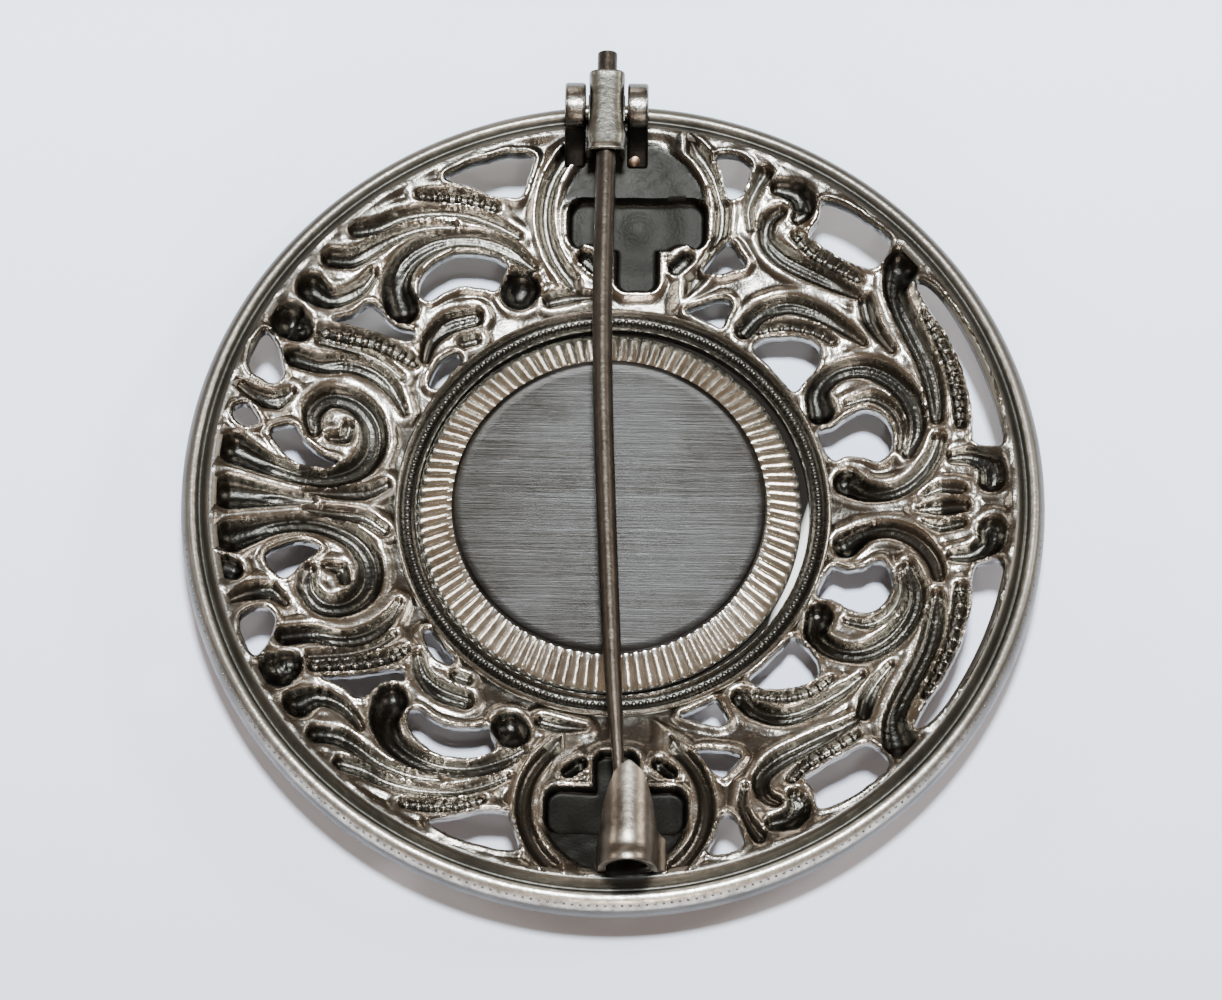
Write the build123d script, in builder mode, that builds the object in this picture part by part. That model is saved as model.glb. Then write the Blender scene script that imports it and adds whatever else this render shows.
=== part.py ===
from build123d import *
import math
import os

# A round pierced brooch of struck silver, lying face down with its pin upwards.
# The plaque's flat front is on the ground plane, the hinge is at +Y and the catch at -Y.
# Sizes are in millimetres, and heights named "rise" are above the ornament's middle plane.

# Overall
brooch_diameter = 45.0
middle_height = 3.4

# Struck sheet between the inner ring and the border
sheet_thickness = 0.85
dish_inner_rise = -0.6
dish_middle_rise = 0.42
dish_outer_rise = 1.6
hollow_depth = 0.6
boss_height = 0.45
boss_wall = 0.22

# Rim: border ridge, groove, band and front lip
rim_width = 1.75
rim_depth = 1.8
rim_front_rise = -0.4

# Setting cup, with the clearance round it, and the ring and collar of the frame
cup_radius = 9.95
cup_offset = -0.15
cup_back_radius = 8.1
cup_back_rise = -0.1
cup_band_drop = 0.86
cup_wall = 0.36
cup_clearance = 0.3
ring_width = 1.1
ring_rise = -0.45
ring_channel_depth = 0.5
collar_length = 1.2

# Plaque
plaque_radius = 10.7
plaque_clearance = 0.1
seat_clearance = 0.05
plaque_edge_round = 0.9

# Hinge ears, rivet and sleeve
hinge_x = -0.66
hinge_y = 21.3
ear_radius = 1.3
ear_rise = 3.2
ear_thickness = 0.95
ear_gap = 2.3
ear_root = 0.82
ear_slope = 1.2
rivet_rise = 2.58
rivet_radius = 0.4
rivet_play = 0.2
rivet_fit = 0.03
sleeve_length = 4.5
sleeve_overhang = 1.65
sleeve_wall = 0.2
sleeve_fit = 0.04
sleeve_skirt = 0.68
sleeve_flare = 0.1
lug_radius = 0.75

# Pin wire, which reaches from the hinge past the middle to the catch
wire_diameter = 1.04
wire_rise = 3.72
wire_fall = 1.25
wire_sideways = 1.5
pin_reach = 40.75

# Catch, a strip bent into a hook that is open on its right
catch_x = 1.05
catch_rise = 2.25
catch_radius = 1.5
catch_sheet = 0.4
catch_length = 4.7
catch_end = 20.65
catch_tongue = 2.2
catch_tongue_drop = 0.2
catch_lip = 0.4
catch_side_lift = 0.5
catch_foot = 0.5
catch_foot_rise = 0.15

# Medallions at the top and the bottom of the ornament
medal_x = 0.7
medal_reach = 16.2
medal_groove_radius = 4.7
medal_groove_width = 0.75
cross_span = 7.5
cross_lobe = 2.7
cross_arm = 2.4
cross_length = 7.0
cross_round = 0.7
eye_x = 2.35
eye_reach = 14.3
eye_length = 1.45
eye_width = 0.7
eye_turn = 35.0

# Worked out from the sizes above
brooch_radius = brooch_diameter / 2
border_radius = brooch_radius - rim_width
ring_inner_radius = cup_radius + cup_clearance
ring_radius = ring_inner_radius + ring_width
collar_radius = plaque_radius + plaque_clearance
ring_seat_rise = ring_rise - sheet_thickness
plaque_top = middle_height + ring_seat_rise - seat_clearance
ear_inner = ear_gap / 2
ear_outer = ear_inner + ear_thickness
wire_radius = wire_diameter / 2
sleeve_radius = wire_radius + sleeve_fit + sleeve_wall

# The ornament is drawn on a square grid whose steps are 45ths of the brooch's width.
# On the drawing the ring and the border have these radii, in steps.
drawn_ring = 11.35
drawn_border = 20.75

# The wire's line and taper, from the tail to the point
# columns: share of the reach, share of the sideways run, share of the fall, share of the diameter
wire_line = [
    (-0.07, 0.00, 0.00, 1.00),
    (0.00, 0.00, 0.00, 1.00),
    (0.09, 0.00, 0.00, 1.00),
    (0.28, -0.03, 0.19, 1.00),
    (0.48, 0.13, 0.42, 0.96),
    (0.66, 0.37, 0.63, 0.95),
    (0.80, 0.59, 0.78, 0.82),
    (0.90, 0.79, 0.89, 0.54),
    (0.97, 0.93, 0.97, 0.32),
    (1.00, 1.00, 1.00, 0.10),
]

# Rim section, from the border inwards of the ridge to the front and back again
# columns: inward, a share of the rim's width from its edge; up, a share of its depth
rim_section = [
    (0.91, 1.17),
    (0.71, 1.12),
    (0.60, 0.76),
    (0.51, 0.73),
    (0.45, 0.90),
    (0.34, 1.00),
    (0.20, 0.99),
    (0.09, 0.78),
    (0.00, 0.50),
    (0.05, 0.37),
    (0.00, 0.28),
    (0.00, 0.03),
    (0.11, 0.00),
    (0.46, 0.11),
    (0.80, 0.44),
]

# Hollows of the ornament, each a stroke that narrows and widens along its length
# columns: sides (+1 upper half, -1 lower half), then points of x, y and half width in steps
hollows = {
    "lobe_and_volute": ((1, -1), [(-20.1, 2.5, 0.7), (-18.9, 2.1, 0.55), (-17.6, 1.6, 0.42),
                                  (-16.2, 1.3, 0.4), (-14.8, 1.4, 0.45), (-13.4, 2.0, 0.5),
                                  (-12.6, 3.2, 0.55), (-12.7, 4.7, 0.55), (-13.7, 5.7, 0.5),
                                  (-15.0, 5.8, 0.5), (-15.8, 4.9, 0.42), (-15.7, 3.9, 0.3)]),
    "volute_eye": ((1, -1), [(-14.8, 3.6, 0.2), (-14.1, 3.7, 0.3), (-13.9, 4.3, 0.25)]),
    "middle_lobe": ((1,), [(-20.6, 0.0, 0.8), (-19.2, 0.0, 0.6), (-17.4, 0.0, 0.4), (-15.6, 0.0, 0.15)]),
    "palmette_leaf": ((1, -1), [(-16.0, 0.5, 0.12), (-14.5, 0.55, 0.28), (-13.0, 0.7, 0.32),
                                (-11.9, 1.3, 0.25)]),
    "outer_leaf": ((1, -1), [(-16.8, 7.8, 0.45), (-15.5, 7.55, 0.42), (-14.0, 7.7, 0.4),
                             (-12.6, 7.3, 0.4), (-11.6, 6.4, 0.3), (-11.0, 5.3, 0.15)]),
    "side_curl": ((1, -1), [(-19.6, 6.0, 0.2), (-18.7, 5.5, 0.38), (-17.7, 5.3, 0.4), (-16.9, 5.9, 0.2)]),
    "leaf_end_1": ((1, -1), [(-17.05, 9.7, 0.85), (-16.6, 9.4, 0.6)]),
    "beaded_left": ((1, -1), [(-15.3, 9.35, 0.3), (-14.0, 9.2, 0.34), (-12.5, 8.95, 0.34),
                              (-11.2, 8.4, 0.3), (-10.6, 8.0, 0.2)]),
    "leaf_end_2": ((1, -1), [(-16.0, 11.6, 0.65), (-15.2, 11.15, 0.5), (-14.2, 11.35, 0.36),
                             (-13.3, 12.0, 0.3), (-12.8, 12.7, 0.2)]),
    "leaf_end_3": ((1, -1), [(-15.0, 13.3, 0.42), (-14.0, 13.35, 0.42), (-13.0, 13.9, 0.34),
                             (-11.8, 14.7, 0.28), (-10.3, 15.3, 0.22), (-8.6, 15.5, 0.14)]),
    "leaf_end_4": ((1, -1), [(-13.7, 14.9, 0.35), (-12.6, 15.2, 0.34), (-11.4, 15.8, 0.28),
                             (-9.8, 16.15, 0.24), (-8.0, 16.15, 0.24), (-6.4, 15.7, 0.24),
                             (-5.2, 15.1, 0.15)]),
    "beaded_top": ((1, -1), [(-10.4, 17.0, 0.22), (-9.2, 17.05, 0.3), (-7.8, 16.95, 0.28),
                             (-6.5, 16.55, 0.2)]),
    "comma": ((1, -1), [(-11.3, 11.0, 0.75), (-11.6, 12.1, 0.62), (-11.2, 13.3, 0.52),
                        (-10.2, 14.2, 0.45), (-8.8, 14.75, 0.36), (-7.1, 14.8, 0.36),
                        (-5.6, 14.3, 0.36), (-4.4, 13.5, 0.2)]),
    "round_left": ((1, -1), [(-5.15, 12.25, 0.8), (-5.0, 12.45, 0.78)]),
    "eye_left": ((1, -1), [(-3.5, 11.8, 0.3), (-2.5, 12.05, 0.3), (-1.3, 12.1, 0.12)]),
    "leaf_inner": ((1, -1), [(-10.0, 8.3, 0.22), (-9.7, 9.4, 0.36), (-8.8, 10.3, 0.45),
                             (-7.5, 10.75, 0.42)]),
    "pit_left": ((1, -1), [(-8.0, 9.35, 0.25), (-7.4, 9.55, 0.25)]),
    "hook_head": ((1, -1), [(8.5, 17.75, 0.35), (9.45, 17.5, 0.5), (9.85, 16.75, 0.5), (9.55, 16.15, 0.3)]),
    "hook_stroke": ((1, -1), [(8.6, 16.5, 0.25), (7.95, 16.0, 0.34), (7.9, 15.0, 0.38),
                              (8.7, 14.1, 0.42), (10.0, 13.35, 0.42), (11.5, 12.55, 0.34),
                              (12.6, 11.9, 0.2)]),
    "hook_tip": ((1, -1), [(7.75, 18.5, 0.32), (7.25, 17.7, 0.25), (6.9, 16.7, 0.2), (7.0, 15.6, 0.14)]),
    "beaded_hook": ((1, -1), [(9.4, 15.2, 0.22), (10.4, 14.2, 0.26), (11.6, 13.45, 0.26), (12.7, 12.75, 0.2)]),
    "long_leaf": ((1, -1), [(14.9, 13.25, 0.75), (14.65, 12.1, 0.5), (15.0, 10.9, 0.45),
                            (15.7, 9.4, 0.45), (16.4, 7.8, 0.45), (16.75, 6.2, 0.4),
                            (16.85, 5.0, 0.3)]),
    "slit": ((1, -1), [(13.1, 11.5, 0.32), (13.3, 10.7, 0.36), (13.75, 9.8, 0.26), (14.5, 8.8, 0.15)]),
    "beaded_right": ((1, -1), [(16.3, 10.7, 0.22), (16.95, 9.4, 0.3), (17.55, 8.0, 0.32),
                               (17.95, 6.3, 0.32), (18.1, 4.6, 0.28)]),
    "scroll": ((1, -1), [(10.8, 5.75, 0.6), (10.65, 6.9, 0.48), (11.7, 7.8, 0.42), (13.2, 7.95, 0.46),
                         (14.6, 7.2, 0.48), (15.55, 5.9, 0.46), (15.8, 4.5, 0.4), (15.4, 3.2, 0.3)]),
    "scroll_foot": ((1, -1), [(12.2, 1.75, 0.6), (13.3, 1.1, 0.42), (14.7, 1.1, 0.38),
                              (15.9, 1.8, 0.36), (16.7, 2.9, 0.34), (16.95, 3.8, 0.3)]),
    "leaf_right": ((1, -1), [(6.75, 10.3, 0.42), (7.6, 11.15, 0.4), (9.0, 11.55, 0.4), (10.5, 11.1, 0.36),
                             (12.0, 10.15, 0.28), (13.0, 9.3, 0.15)]),
    "right_volute": ((1, -1), [(17.7, 2.75, 0.25), (18.7, 2.75, 0.4), (19.6, 2.2, 0.55), (19.7, 1.4, 0.6)]),
    "bud": ((1,), [(15.9, 0.0, 0.12), (17.1, 0.0, 0.36), (18.2, 0.0, 0.3)]),
    "bud_petal": ((1, -1), [(16.2, 0.75, 0.1), (17.1, 1.1, 0.24), (18.1, 0.95, 0.24)]),
}

# Gaps that are cut through, as closed outlines
# columns: sides (+1 upper half, -1 lower half), then points of x and y in steps
gaps = {
    "by_lobe": ((1,), [(-19.85, 4.7), (-19.2, 5.0), (-18.75, 4.5), (-18.55, 4.0), (-19.2, 3.75),
                       (-19.75, 4.1)]),
    "crescent_upper": ((1,), [(-17.9, 3.55), (-17.2, 4.05), (-16.65, 4.0), (-16.2, 3.3), (-15.3, 2.6),
                              (-14.35, 2.35), (-15.0, 1.95), (-16.2, 1.95), (-17.1, 2.45)]),
    "crescent_lower": ((-1,), [(-17.95, 3.3), (-17.2, 2.7), (-16.2, 2.35), (-15.2, 2.6), (-15.8, 3.25),
                               (-16.4, 4.0), (-16.95, 4.5), (-17.6, 4.1)]),
    "side": ((1, -1), [(-18.3, 9.05), (-17.8, 8.5), (-17.5, 7.7), (-17.35, 6.8), (-17.8, 6.3),
                       (-18.6, 6.5), (-19.1, 6.9), (-19.1, 7.7), (-18.8, 8.5)]),
    "between_leaves": ((1, -1), [(-14.8, 10.0), (-13.8, 10.4), (-13.0, 11.0), (-12.5, 10.8),
                                 (-11.9, 10.15), (-11.2, 9.85), (-10.7, 9.75), (-10.75, 9.25),
                                 (-11.5, 9.25), (-12.7, 9.6), (-13.9, 9.8)]),
    "kidney": ((1, -1), [(-10.35, 11.7), (-9.8, 11.45), (-9.0, 12.0), (-8.0, 12.35), (-7.0, 12.3),
                         (-6.35, 12.2), (-6.1, 12.7), (-5.85, 13.5), (-6.6, 13.95), (-7.7, 14.1),
                         (-8.8, 13.9), (-9.7, 13.3), (-10.3, 12.5)]),
    "by_rim_left": ((1, -1), [(-9.1, 17.95), (-7.8, 17.6), (-6.6, 17.2), (-5.3, 17.15), (-4.95, 17.7),
                              (-4.6, 18.7), (-4.55, 19.3), (-5.5, 19.4), (-6.8, 19.1), (-8.2, 18.6)]),
    "small_left": ((1, -1), [(-9.75, 6.95), (-9.4, 7.9), (-8.9, 8.5), (-8.3, 8.7), (-8.1, 8.3),
                             (-8.6, 7.75), (-9.25, 6.8)]),
    "by_medal": ((1, -1), [(5.15, 19.4), (6.1, 19.45), (6.9, 19.0), (6.85, 18.3), (6.55, 17.4),
                           (5.95, 17.2), (5.7, 17.7), (5.45, 18.6)]),
    "by_rim_right": ((1, -1), [(10.8, 16.9), (11.8, 16.65), (13.1, 15.85), (14.2, 14.9), (14.35, 14.25),
                               (13.65, 13.4), (13.0, 13.35), (11.8, 13.95), (10.7, 14.65),
                               (10.15, 15.2), (10.6, 16.0)]),
    "long_right": ((1, -1), [(15.75, 12.4), (16.5, 12.15), (17.85, 10.4), (19.0, 8.4), (19.8, 6.2),
                             (20.2, 4.2), (20.15, 3.3), (19.4, 3.25), (18.75, 3.6), (18.65, 5.5),
                             (18.2, 7.4), (17.35, 9.4), (16.3, 11.1)]),
    "small_right": ((1, -1), [(3.7, 11.35), (4.7, 11.75), (5.7, 11.95), (6.05, 11.6), (5.75, 10.9),
                              (5.5, 10.45), (4.9, 10.7), (4.2, 11.05)]),
    "by_medal_inner": ((1, -1), [(4.55, 13.4), (5.5, 13.35), (6.7, 13.65), (6.45, 14.25), (5.9, 14.95),
                                 (5.35, 14.6), (4.9, 14.0)]),
    "big_right": ((1, -1), [(7.25, 9.2), (8.05, 8.35), (8.95, 7.35), (9.4, 6.9), (9.9, 7.3),
                            (10.55, 8.15), (10.75, 9.0), (10.2, 9.6), (9.0, 9.85), (7.8, 9.75)]),
    "under_scroll": ((1, -1), [(10.75, 4.6), (11.5, 4.85), (12.4, 5.45), (13.3, 5.65), (14.15, 5.15),
                               (14.55, 4.2), (14.35, 3.2), (13.8, 2.8), (13.0, 3.1), (12.2, 3.2),
                               (11.5, 3.0), (10.95, 3.75)]),
}


def on_plan(x, y):
    """The plan point of a drawing point, stretched to lie between ring and border."""
    drawn = math.hypot(x, y)
    share = (drawn - drawn_ring) / (drawn_border - drawn_ring)
    radius = ring_radius + share * (border_radius - ring_radius)
    return (x / drawn * radius, y / drawn * radius)


def dish_rise(radius):
    """Rise of the sheet's back at a radius, on the arc through its three named rises."""
    middle_radius = (ring_radius + border_radius) / 2
    slope_in = (dish_middle_rise - dish_inner_rise) / (middle_radius - ring_radius)
    slope_out = (dish_outer_rise - dish_middle_rise) / (border_radius - middle_radius)
    bend = (slope_out - slope_in) / (border_radius - ring_radius)
    run = radius - ring_radius
    return dish_inner_rise + run * slope_in + bend * run * (radius - middle_radius)


def rim_point(inward, up):
    """A point of the rim's section from its shares."""
    return (brooch_radius - inward * rim_width, middle_height + rim_front_rise + up * rim_depth)


def dish_points(lift):
    """Three points of the dish's arc, moved up by a lift."""
    radii = (ring_radius, (ring_radius + border_radius) / 2, border_radius)
    return [(radius, middle_height + dish_rise(radius) + lift) for radius in radii]


def dish_layer(low, high):
    """Draw the section of a layer of the dish between two lifts above its back."""
    lower = dish_points(low)
    upper = dish_points(high)
    with BuildSketch() as drawing:
        with BuildLine():
            ThreePointArc(*lower)
            Line(lower[-1], upper[-1])
            ThreePointArc(*upper)
            Line(upper[0], lower[0])
        make_face()
    return drawing.sketch


def stroke(points, side, widening=0.0):
    """Draw one stroke as a face with round ends."""
    centres = [Vector(*on_plan(x, side * y)) for x, y, half in points]
    step = brooch_diameter / 45
    halves = [half * step + widening for x, y, half in points]
    count = len(centres)
    left = []
    right = []
    for index, centre in enumerate(centres):
        ahead = centres[min(index + 1, count - 1)] - centres[max(index - 1, 0)]
        across = Vector(-ahead.Y, ahead.X).normalized() * halves[index]
        left.append(centre + across)
        right.append(centre - across)
    start = (centres[0] - centres[1]).normalized() * halves[0] + centres[0]
    end = (centres[-1] - centres[-2]).normalized() * halves[-1] + centres[-1]
    with BuildSketch() as drawing:
        with BuildLine():
            if count > 2:
                Spline(*left)
                Spline(*right)
            else:
                Line(*left)
                Line(*right)
            ThreePointArc(right[0], start, left[0])
            ThreePointArc(left[-1], end, right[-1])
        make_face()
    return drawing.sketch


def medallion(side, widening=0.0):
    """Draw the cross, ring groove and eyes of one medallion."""
    with BuildSketch() as drawing:
        with Locations((medal_x, side * medal_reach)):
            Circle(medal_groove_radius + medal_groove_width / 2 + widening)
            Circle(medal_groove_radius - medal_groove_width / 2 - widening, mode=Mode.SUBTRACT)
            RectangleRounded(cross_span + 2 * widening, cross_lobe + 2 * widening, cross_round)
            RectangleRounded(cross_arm + 2 * widening, cross_length + 2 * widening, cross_round)
        for across in (1, -1):
            turn = across * side * eye_turn
            with Locations(Location((medal_x + across * eye_x, side * eye_reach, 0), (0, 0, turn))):
                SlotOverall(eye_length + 2 * widening, eye_width + 2 * widening)
    return drawing.sketch


def opening(points, side):
    """Draw one gap as a closed smooth outline."""
    outline = [Vector(*on_plan(x, side * y)) for x, y in points]
    with BuildSketch() as drawing:
        with BuildLine():
            Spline(*outline, periodic=True)
        make_face()
    return drawing.sketch


def openings():
    """Draw every gap."""
    with BuildSketch() as drawing:
        add([opening(points, side) for sides, points in gaps.values() for side in sides])
    return drawing.sketch


def ornament(widening):
    """Draw every hollow of the ornament."""
    strokes = [stroke(points, side, widening) for sides, points in hollows.values() for side in sides]
    medallions = [medallion(side, widening) for side in (1, -1)]
    with BuildSketch() as drawing:
        add(strokes + medallions)
    return drawing.sketch


# The hollows, which reach a set depth into the sheet's back
with BuildPart() as hollow_cut:
    with BuildSketch(Plane.XY):
        add(ornament(0.0))
    extrude(amount=2 * middle_height + rim_depth)
    with BuildSketch(Plane.XZ):
        add(dish_layer(-hollow_depth, rim_depth))
    revolve(axis=Axis.Z, mode=Mode.INTERSECT)

# The raised forms of the front, which back the hollows
with BuildPart() as bosses:
    with BuildSketch(Plane.XY):
        add(ornament(boss_wall))
    extrude(amount=2 * middle_height + rim_depth)
    with BuildSketch(Plane.XZ):
        add(dish_layer(-sheet_thickness - boss_height, -sheet_thickness + 0.1))
    revolve(axis=Axis.Z, mode=Mode.INTERSECT)

# The catch: the bent strip, its cut back right flank, and its leg and foot on the sheet
with BuildPart() as catch:
    catch_inner = catch_radius - catch_sheet
    catch_start = catch_end - catch_length
    hook_z = middle_height + catch_rise
    tongue_z = hook_z - catch_tongue_drop
    with BuildSketch(Plane.XZ.offset(catch_start)):
        with BuildLine():
            ThreePointArc((catch_x - catch_radius, hook_z), (catch_x, hook_z + catch_radius),
                          (catch_x + catch_radius, hook_z))
            Polyline((catch_x + catch_radius, hook_z),
                     (catch_x + catch_radius + catch_lip, tongue_z),
                     (catch_x + catch_inner + catch_lip, tongue_z),
                     (catch_x + catch_inner, hook_z))
            ThreePointArc((catch_x + catch_inner, hook_z), (catch_x, hook_z + catch_inner),
                          (catch_x - catch_inner, hook_z))
            Line((catch_x - catch_inner, hook_z), (catch_x - catch_radius, hook_z))
        make_face()
    extrude(amount=catch_length)
    with BuildSketch(Plane.YZ.offset(catch_x)):
        tongue_start = catch_tongue - catch_end
        with BuildLine():
            Polyline((tongue_start, 0), (tongue_start, tongue_z),
                     (tongue_start + catch_sheet, hook_z + catch_side_lift),
                     (catch_sheet - catch_start, hook_z + catch_side_lift),
                     (catch_sheet - catch_start, 0), (tongue_start, 0))
        make_face()
    extrude(amount=catch_radius + catch_length, mode=Mode.SUBTRACT)
    floor_start = middle_height + dish_rise(catch_start)
    floor_end = middle_height + dish_rise(catch_end)
    root_depth = (sheet_thickness + hollow_depth) / 2
    with BuildSketch(Plane.YZ.offset(catch_x - catch_radius)):
        with BuildLine():
            Polyline((-catch_start, floor_start - root_depth), (-catch_start, hook_z),
                     (-catch_end, hook_z), (-catch_end, floor_end - root_depth),
                     (-catch_start, floor_start - root_depth))
        make_face()
    extrude(amount=catch_sheet)
    with BuildSketch(Plane.YZ.offset(catch_x - catch_radius - catch_foot)):
        with BuildLine():
            Polyline((-catch_start, floor_start - root_depth), (-catch_start, floor_start + catch_foot_rise),
                     (-catch_end, floor_end + catch_foot_rise), (-catch_end, floor_end - root_depth),
                     (-catch_start, floor_start - root_depth))
        make_face()
    extrude(amount=catch_foot)

with BuildPart() as scroll_frame:
    # Ring with its collar, dished sheet and rim, turned in one piece
    with BuildSketch(Plane.XZ):
        back = dish_points(0.0)
        front = dish_points(-sheet_thickness)
        ring_top = middle_height + ring_rise
        seat = middle_height + ring_seat_rise
        rim = [rim_point(inward, up) for inward, up in rim_section]
        lip = ring_width / 8
        with BuildLine():
            ThreePointArc(*back)
            Polyline(back[-1], *rim, front[-1])
            ThreePointArc(*front)
            Polyline(front[0], (front[0][0], seat - collar_length),
                     (collar_radius, seat - collar_length), (collar_radius, seat),
                     (ring_inner_radius, seat), (ring_inner_radius, ring_top - lip),
                     (ring_inner_radius + lip, ring_top - lip))
            ThreePointArc((ring_inner_radius + lip, ring_top - lip),
                          (ring_inner_radius + ring_width / 2, ring_top - ring_channel_depth),
                          (ring_radius - lip, ring_top))
            Polyline((ring_radius - lip, ring_top), (ring_radius, ring_top), back[0])
        make_face()
    revolve(axis=Axis.Z)

    # Raised forms on the front, hollows in the back, then the gaps through both
    add(bosses.part)
    add(hollow_cut.part, mode=Mode.SUBTRACT)
    with BuildSketch(Plane.XY):
        add(openings())
    extrude(amount=2 * middle_height + rim_depth, mode=Mode.SUBTRACT)

    # Hinge ears with the rivet's holes
    for side in (-1, 1):
        with BuildSketch(Plane.YZ.offset(hinge_x + side * (ear_inner + ear_thickness / 2))):
            root = middle_height + ear_root
            ear_top = middle_height + ear_rise
            with BuildLine():
                ThreePointArc((hinge_y + ear_radius, ear_top), (hinge_y, ear_top + ear_radius),
                              (hinge_y - ear_radius, ear_top))
                Polyline((hinge_y - ear_radius, ear_top), (hinge_y - ear_radius - ear_slope, root),
                         (hinge_y + ear_radius, root), (hinge_y + ear_radius, ear_top))
            make_face()
            with Locations((hinge_y, middle_height + rivet_rise)):
                Circle(rivet_radius + rivet_play, mode=Mode.SUBTRACT)
        extrude(amount=ear_thickness / 2, both=True)
    add(catch.part)
scroll_frame.part.label = "scroll_frame"

# The milled cup: closed back and sloping band, open towards the plaque
with BuildPart() as setting_cup:
    cup_top = middle_height + cup_back_rise
    with BuildSketch(Plane.XZ):
        with BuildLine():
            Polyline((0, cup_top), (cup_back_radius, cup_top), (cup_radius, cup_top - cup_band_drop),
                     (cup_radius, cup_top - cup_band_drop - cup_wall),
                     (cup_back_radius, cup_top - cup_wall), (0, cup_top - cup_wall), (0, cup_top))
        make_face()
    revolve(axis=Axis.Z)
setting_cup.part = setting_cup.part.moved(Location((cup_offset, 0, 0)))
setting_cup.part.label = "setting_cup"

# The plaque: flat front on the ground with a rounded edge
with BuildPart() as plaque:
    Cylinder(plaque_radius, plaque_top, align=(Align.CENTER, Align.CENTER, Align.MIN))
    fillet(plaque.edges().sort_by(Axis.Z)[0], plaque_edge_round)
plaque.part.label = "plaque"

# The rivet through the ears
with BuildPart() as hinge_rivet:
    with BuildSketch(Plane.YZ.offset(hinge_x)):
        with Locations((hinge_y, middle_height + rivet_rise)):
            Circle(rivet_radius)
    extrude(amount=ear_outer, both=True)
hinge_rivet.part.label = "hinge_rivet"

# The sleeve: a strip folded over the wire, with a lug on each side of the rivet
with BuildPart() as pin_sleeve:
    wire_z = middle_height + wire_rise
    inner = sleeve_radius - sleeve_wall
    skirt_z = wire_z - sleeve_skirt
    with BuildSketch(Plane.XZ.offset(-hinge_y - sleeve_overhang)):
        with BuildLine():
            ThreePointArc((hinge_x - sleeve_radius, wire_z), (hinge_x, wire_z + sleeve_radius),
                          (hinge_x + sleeve_radius, wire_z))
            Polyline((hinge_x + sleeve_radius, wire_z), (hinge_x + sleeve_radius + sleeve_flare, skirt_z),
                     (hinge_x + inner + sleeve_flare, skirt_z), (hinge_x + inner, wire_z))
            ThreePointArc((hinge_x + inner, wire_z), (hinge_x, wire_z + inner), (hinge_x - inner, wire_z))
            Polyline((hinge_x - inner, wire_z), (hinge_x - inner - sleeve_flare, skirt_z),
                     (hinge_x - sleeve_radius - sleeve_flare, skirt_z), (hinge_x - sleeve_radius, wire_z))
        make_face()
    extrude(amount=sleeve_length)
    for side in (-1, 1):
        lug_thickness = sleeve_wall + sleeve_flare
        lug_height = skirt_z + sleeve_wall - middle_height - rivet_rise
        with BuildSketch(Plane.YZ.offset(hinge_x + side * (inner + lug_thickness / 2))):
            with Locations((hinge_y, middle_height + rivet_rise)):
                Circle(lug_radius)
                Rectangle(2 * lug_radius, lug_height, align=(Align.CENTER, Align.MIN))
                Circle(rivet_radius + rivet_fit, mode=Mode.SUBTRACT)
        extrude(amount=lug_thickness / 2, both=True)
pin_sleeve.part.label = "pin_sleeve"

# The wire, tapering towards its point
with BuildPart() as pin_stem:
    for along, sideways, fall, thick in wire_line:
        centre = (hinge_x + sideways * wire_sideways, hinge_y - along * pin_reach,
                  wire_z - fall * wire_fall)
        with BuildSketch(Plane(origin=centre, x_dir=(1, 0, 0), z_dir=(0, -1, 0))):
            Circle(thick * wire_radius)
    loft()
pin_stem.part.label = "pin_stem"

os.makedirs("parts", exist_ok=True)
export_step(scroll_frame.part, "parts/scroll_frame.step")
export_step(setting_cup.part, "parts/setting_cup.step")
export_step(plaque.part, "parts/plaque.step")
export_step(hinge_rivet.part, "parts/hinge_rivet.step")
export_step(pin_sleeve.part, "parts/pin_sleeve.step")
export_step(pin_stem.part, "parts/pin_stem.step")
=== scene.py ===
import math
from types import SimpleNamespace

import bpy
import numpy as np
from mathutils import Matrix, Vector, geometry


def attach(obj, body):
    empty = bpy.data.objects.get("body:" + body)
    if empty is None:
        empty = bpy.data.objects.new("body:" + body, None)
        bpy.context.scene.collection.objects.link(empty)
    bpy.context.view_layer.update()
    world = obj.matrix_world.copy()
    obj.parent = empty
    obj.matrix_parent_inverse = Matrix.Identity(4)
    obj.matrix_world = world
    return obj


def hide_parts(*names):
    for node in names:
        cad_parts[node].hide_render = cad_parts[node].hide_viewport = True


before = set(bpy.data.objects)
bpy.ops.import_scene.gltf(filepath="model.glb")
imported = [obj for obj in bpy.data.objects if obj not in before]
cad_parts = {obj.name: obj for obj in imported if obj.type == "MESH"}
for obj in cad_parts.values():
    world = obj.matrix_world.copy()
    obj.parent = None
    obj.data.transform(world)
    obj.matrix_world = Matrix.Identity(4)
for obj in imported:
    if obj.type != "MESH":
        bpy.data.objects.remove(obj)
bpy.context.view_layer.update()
mm = 0.001

# Every size below is in millimetres. Rise is height above the ornament's middle plane.
middleHeight = 3.4


def at(rise):
    return middleHeight + rise


def unit(values):
    return np.clip(values, 0, 1)


def bell(values, middle, width):
    # 1 in the middle, fading to 0 on both sides
    return np.exp(-((values - middle) / width) ** 2)


def swell(values, height, middle, width):
    return height * bell(values, middle, width)


def selectOnly(*pieces):
    bpy.ops.object.select_all(action="DESELECT")
    for piece in pieces:
        piece.select_set(True)
    bpy.context.view_layer.objects.active = pieces[0]


def newShape(addShape, name, **sizes):
    bpy.ops.object.select_all(action="DESELECT")
    addShape(**sizes)
    bpy.context.object.name = name
    return bpy.context.object


def newPiece(name, verts, faces):
    mesh = bpy.data.meshes.new(name)
    mesh.from_pydata((verts * mm).tolist(), [], faces)
    piece = bpy.data.objects.new(name, mesh)
    bpy.context.scene.collection.objects.link(piece)
    return piece


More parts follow.
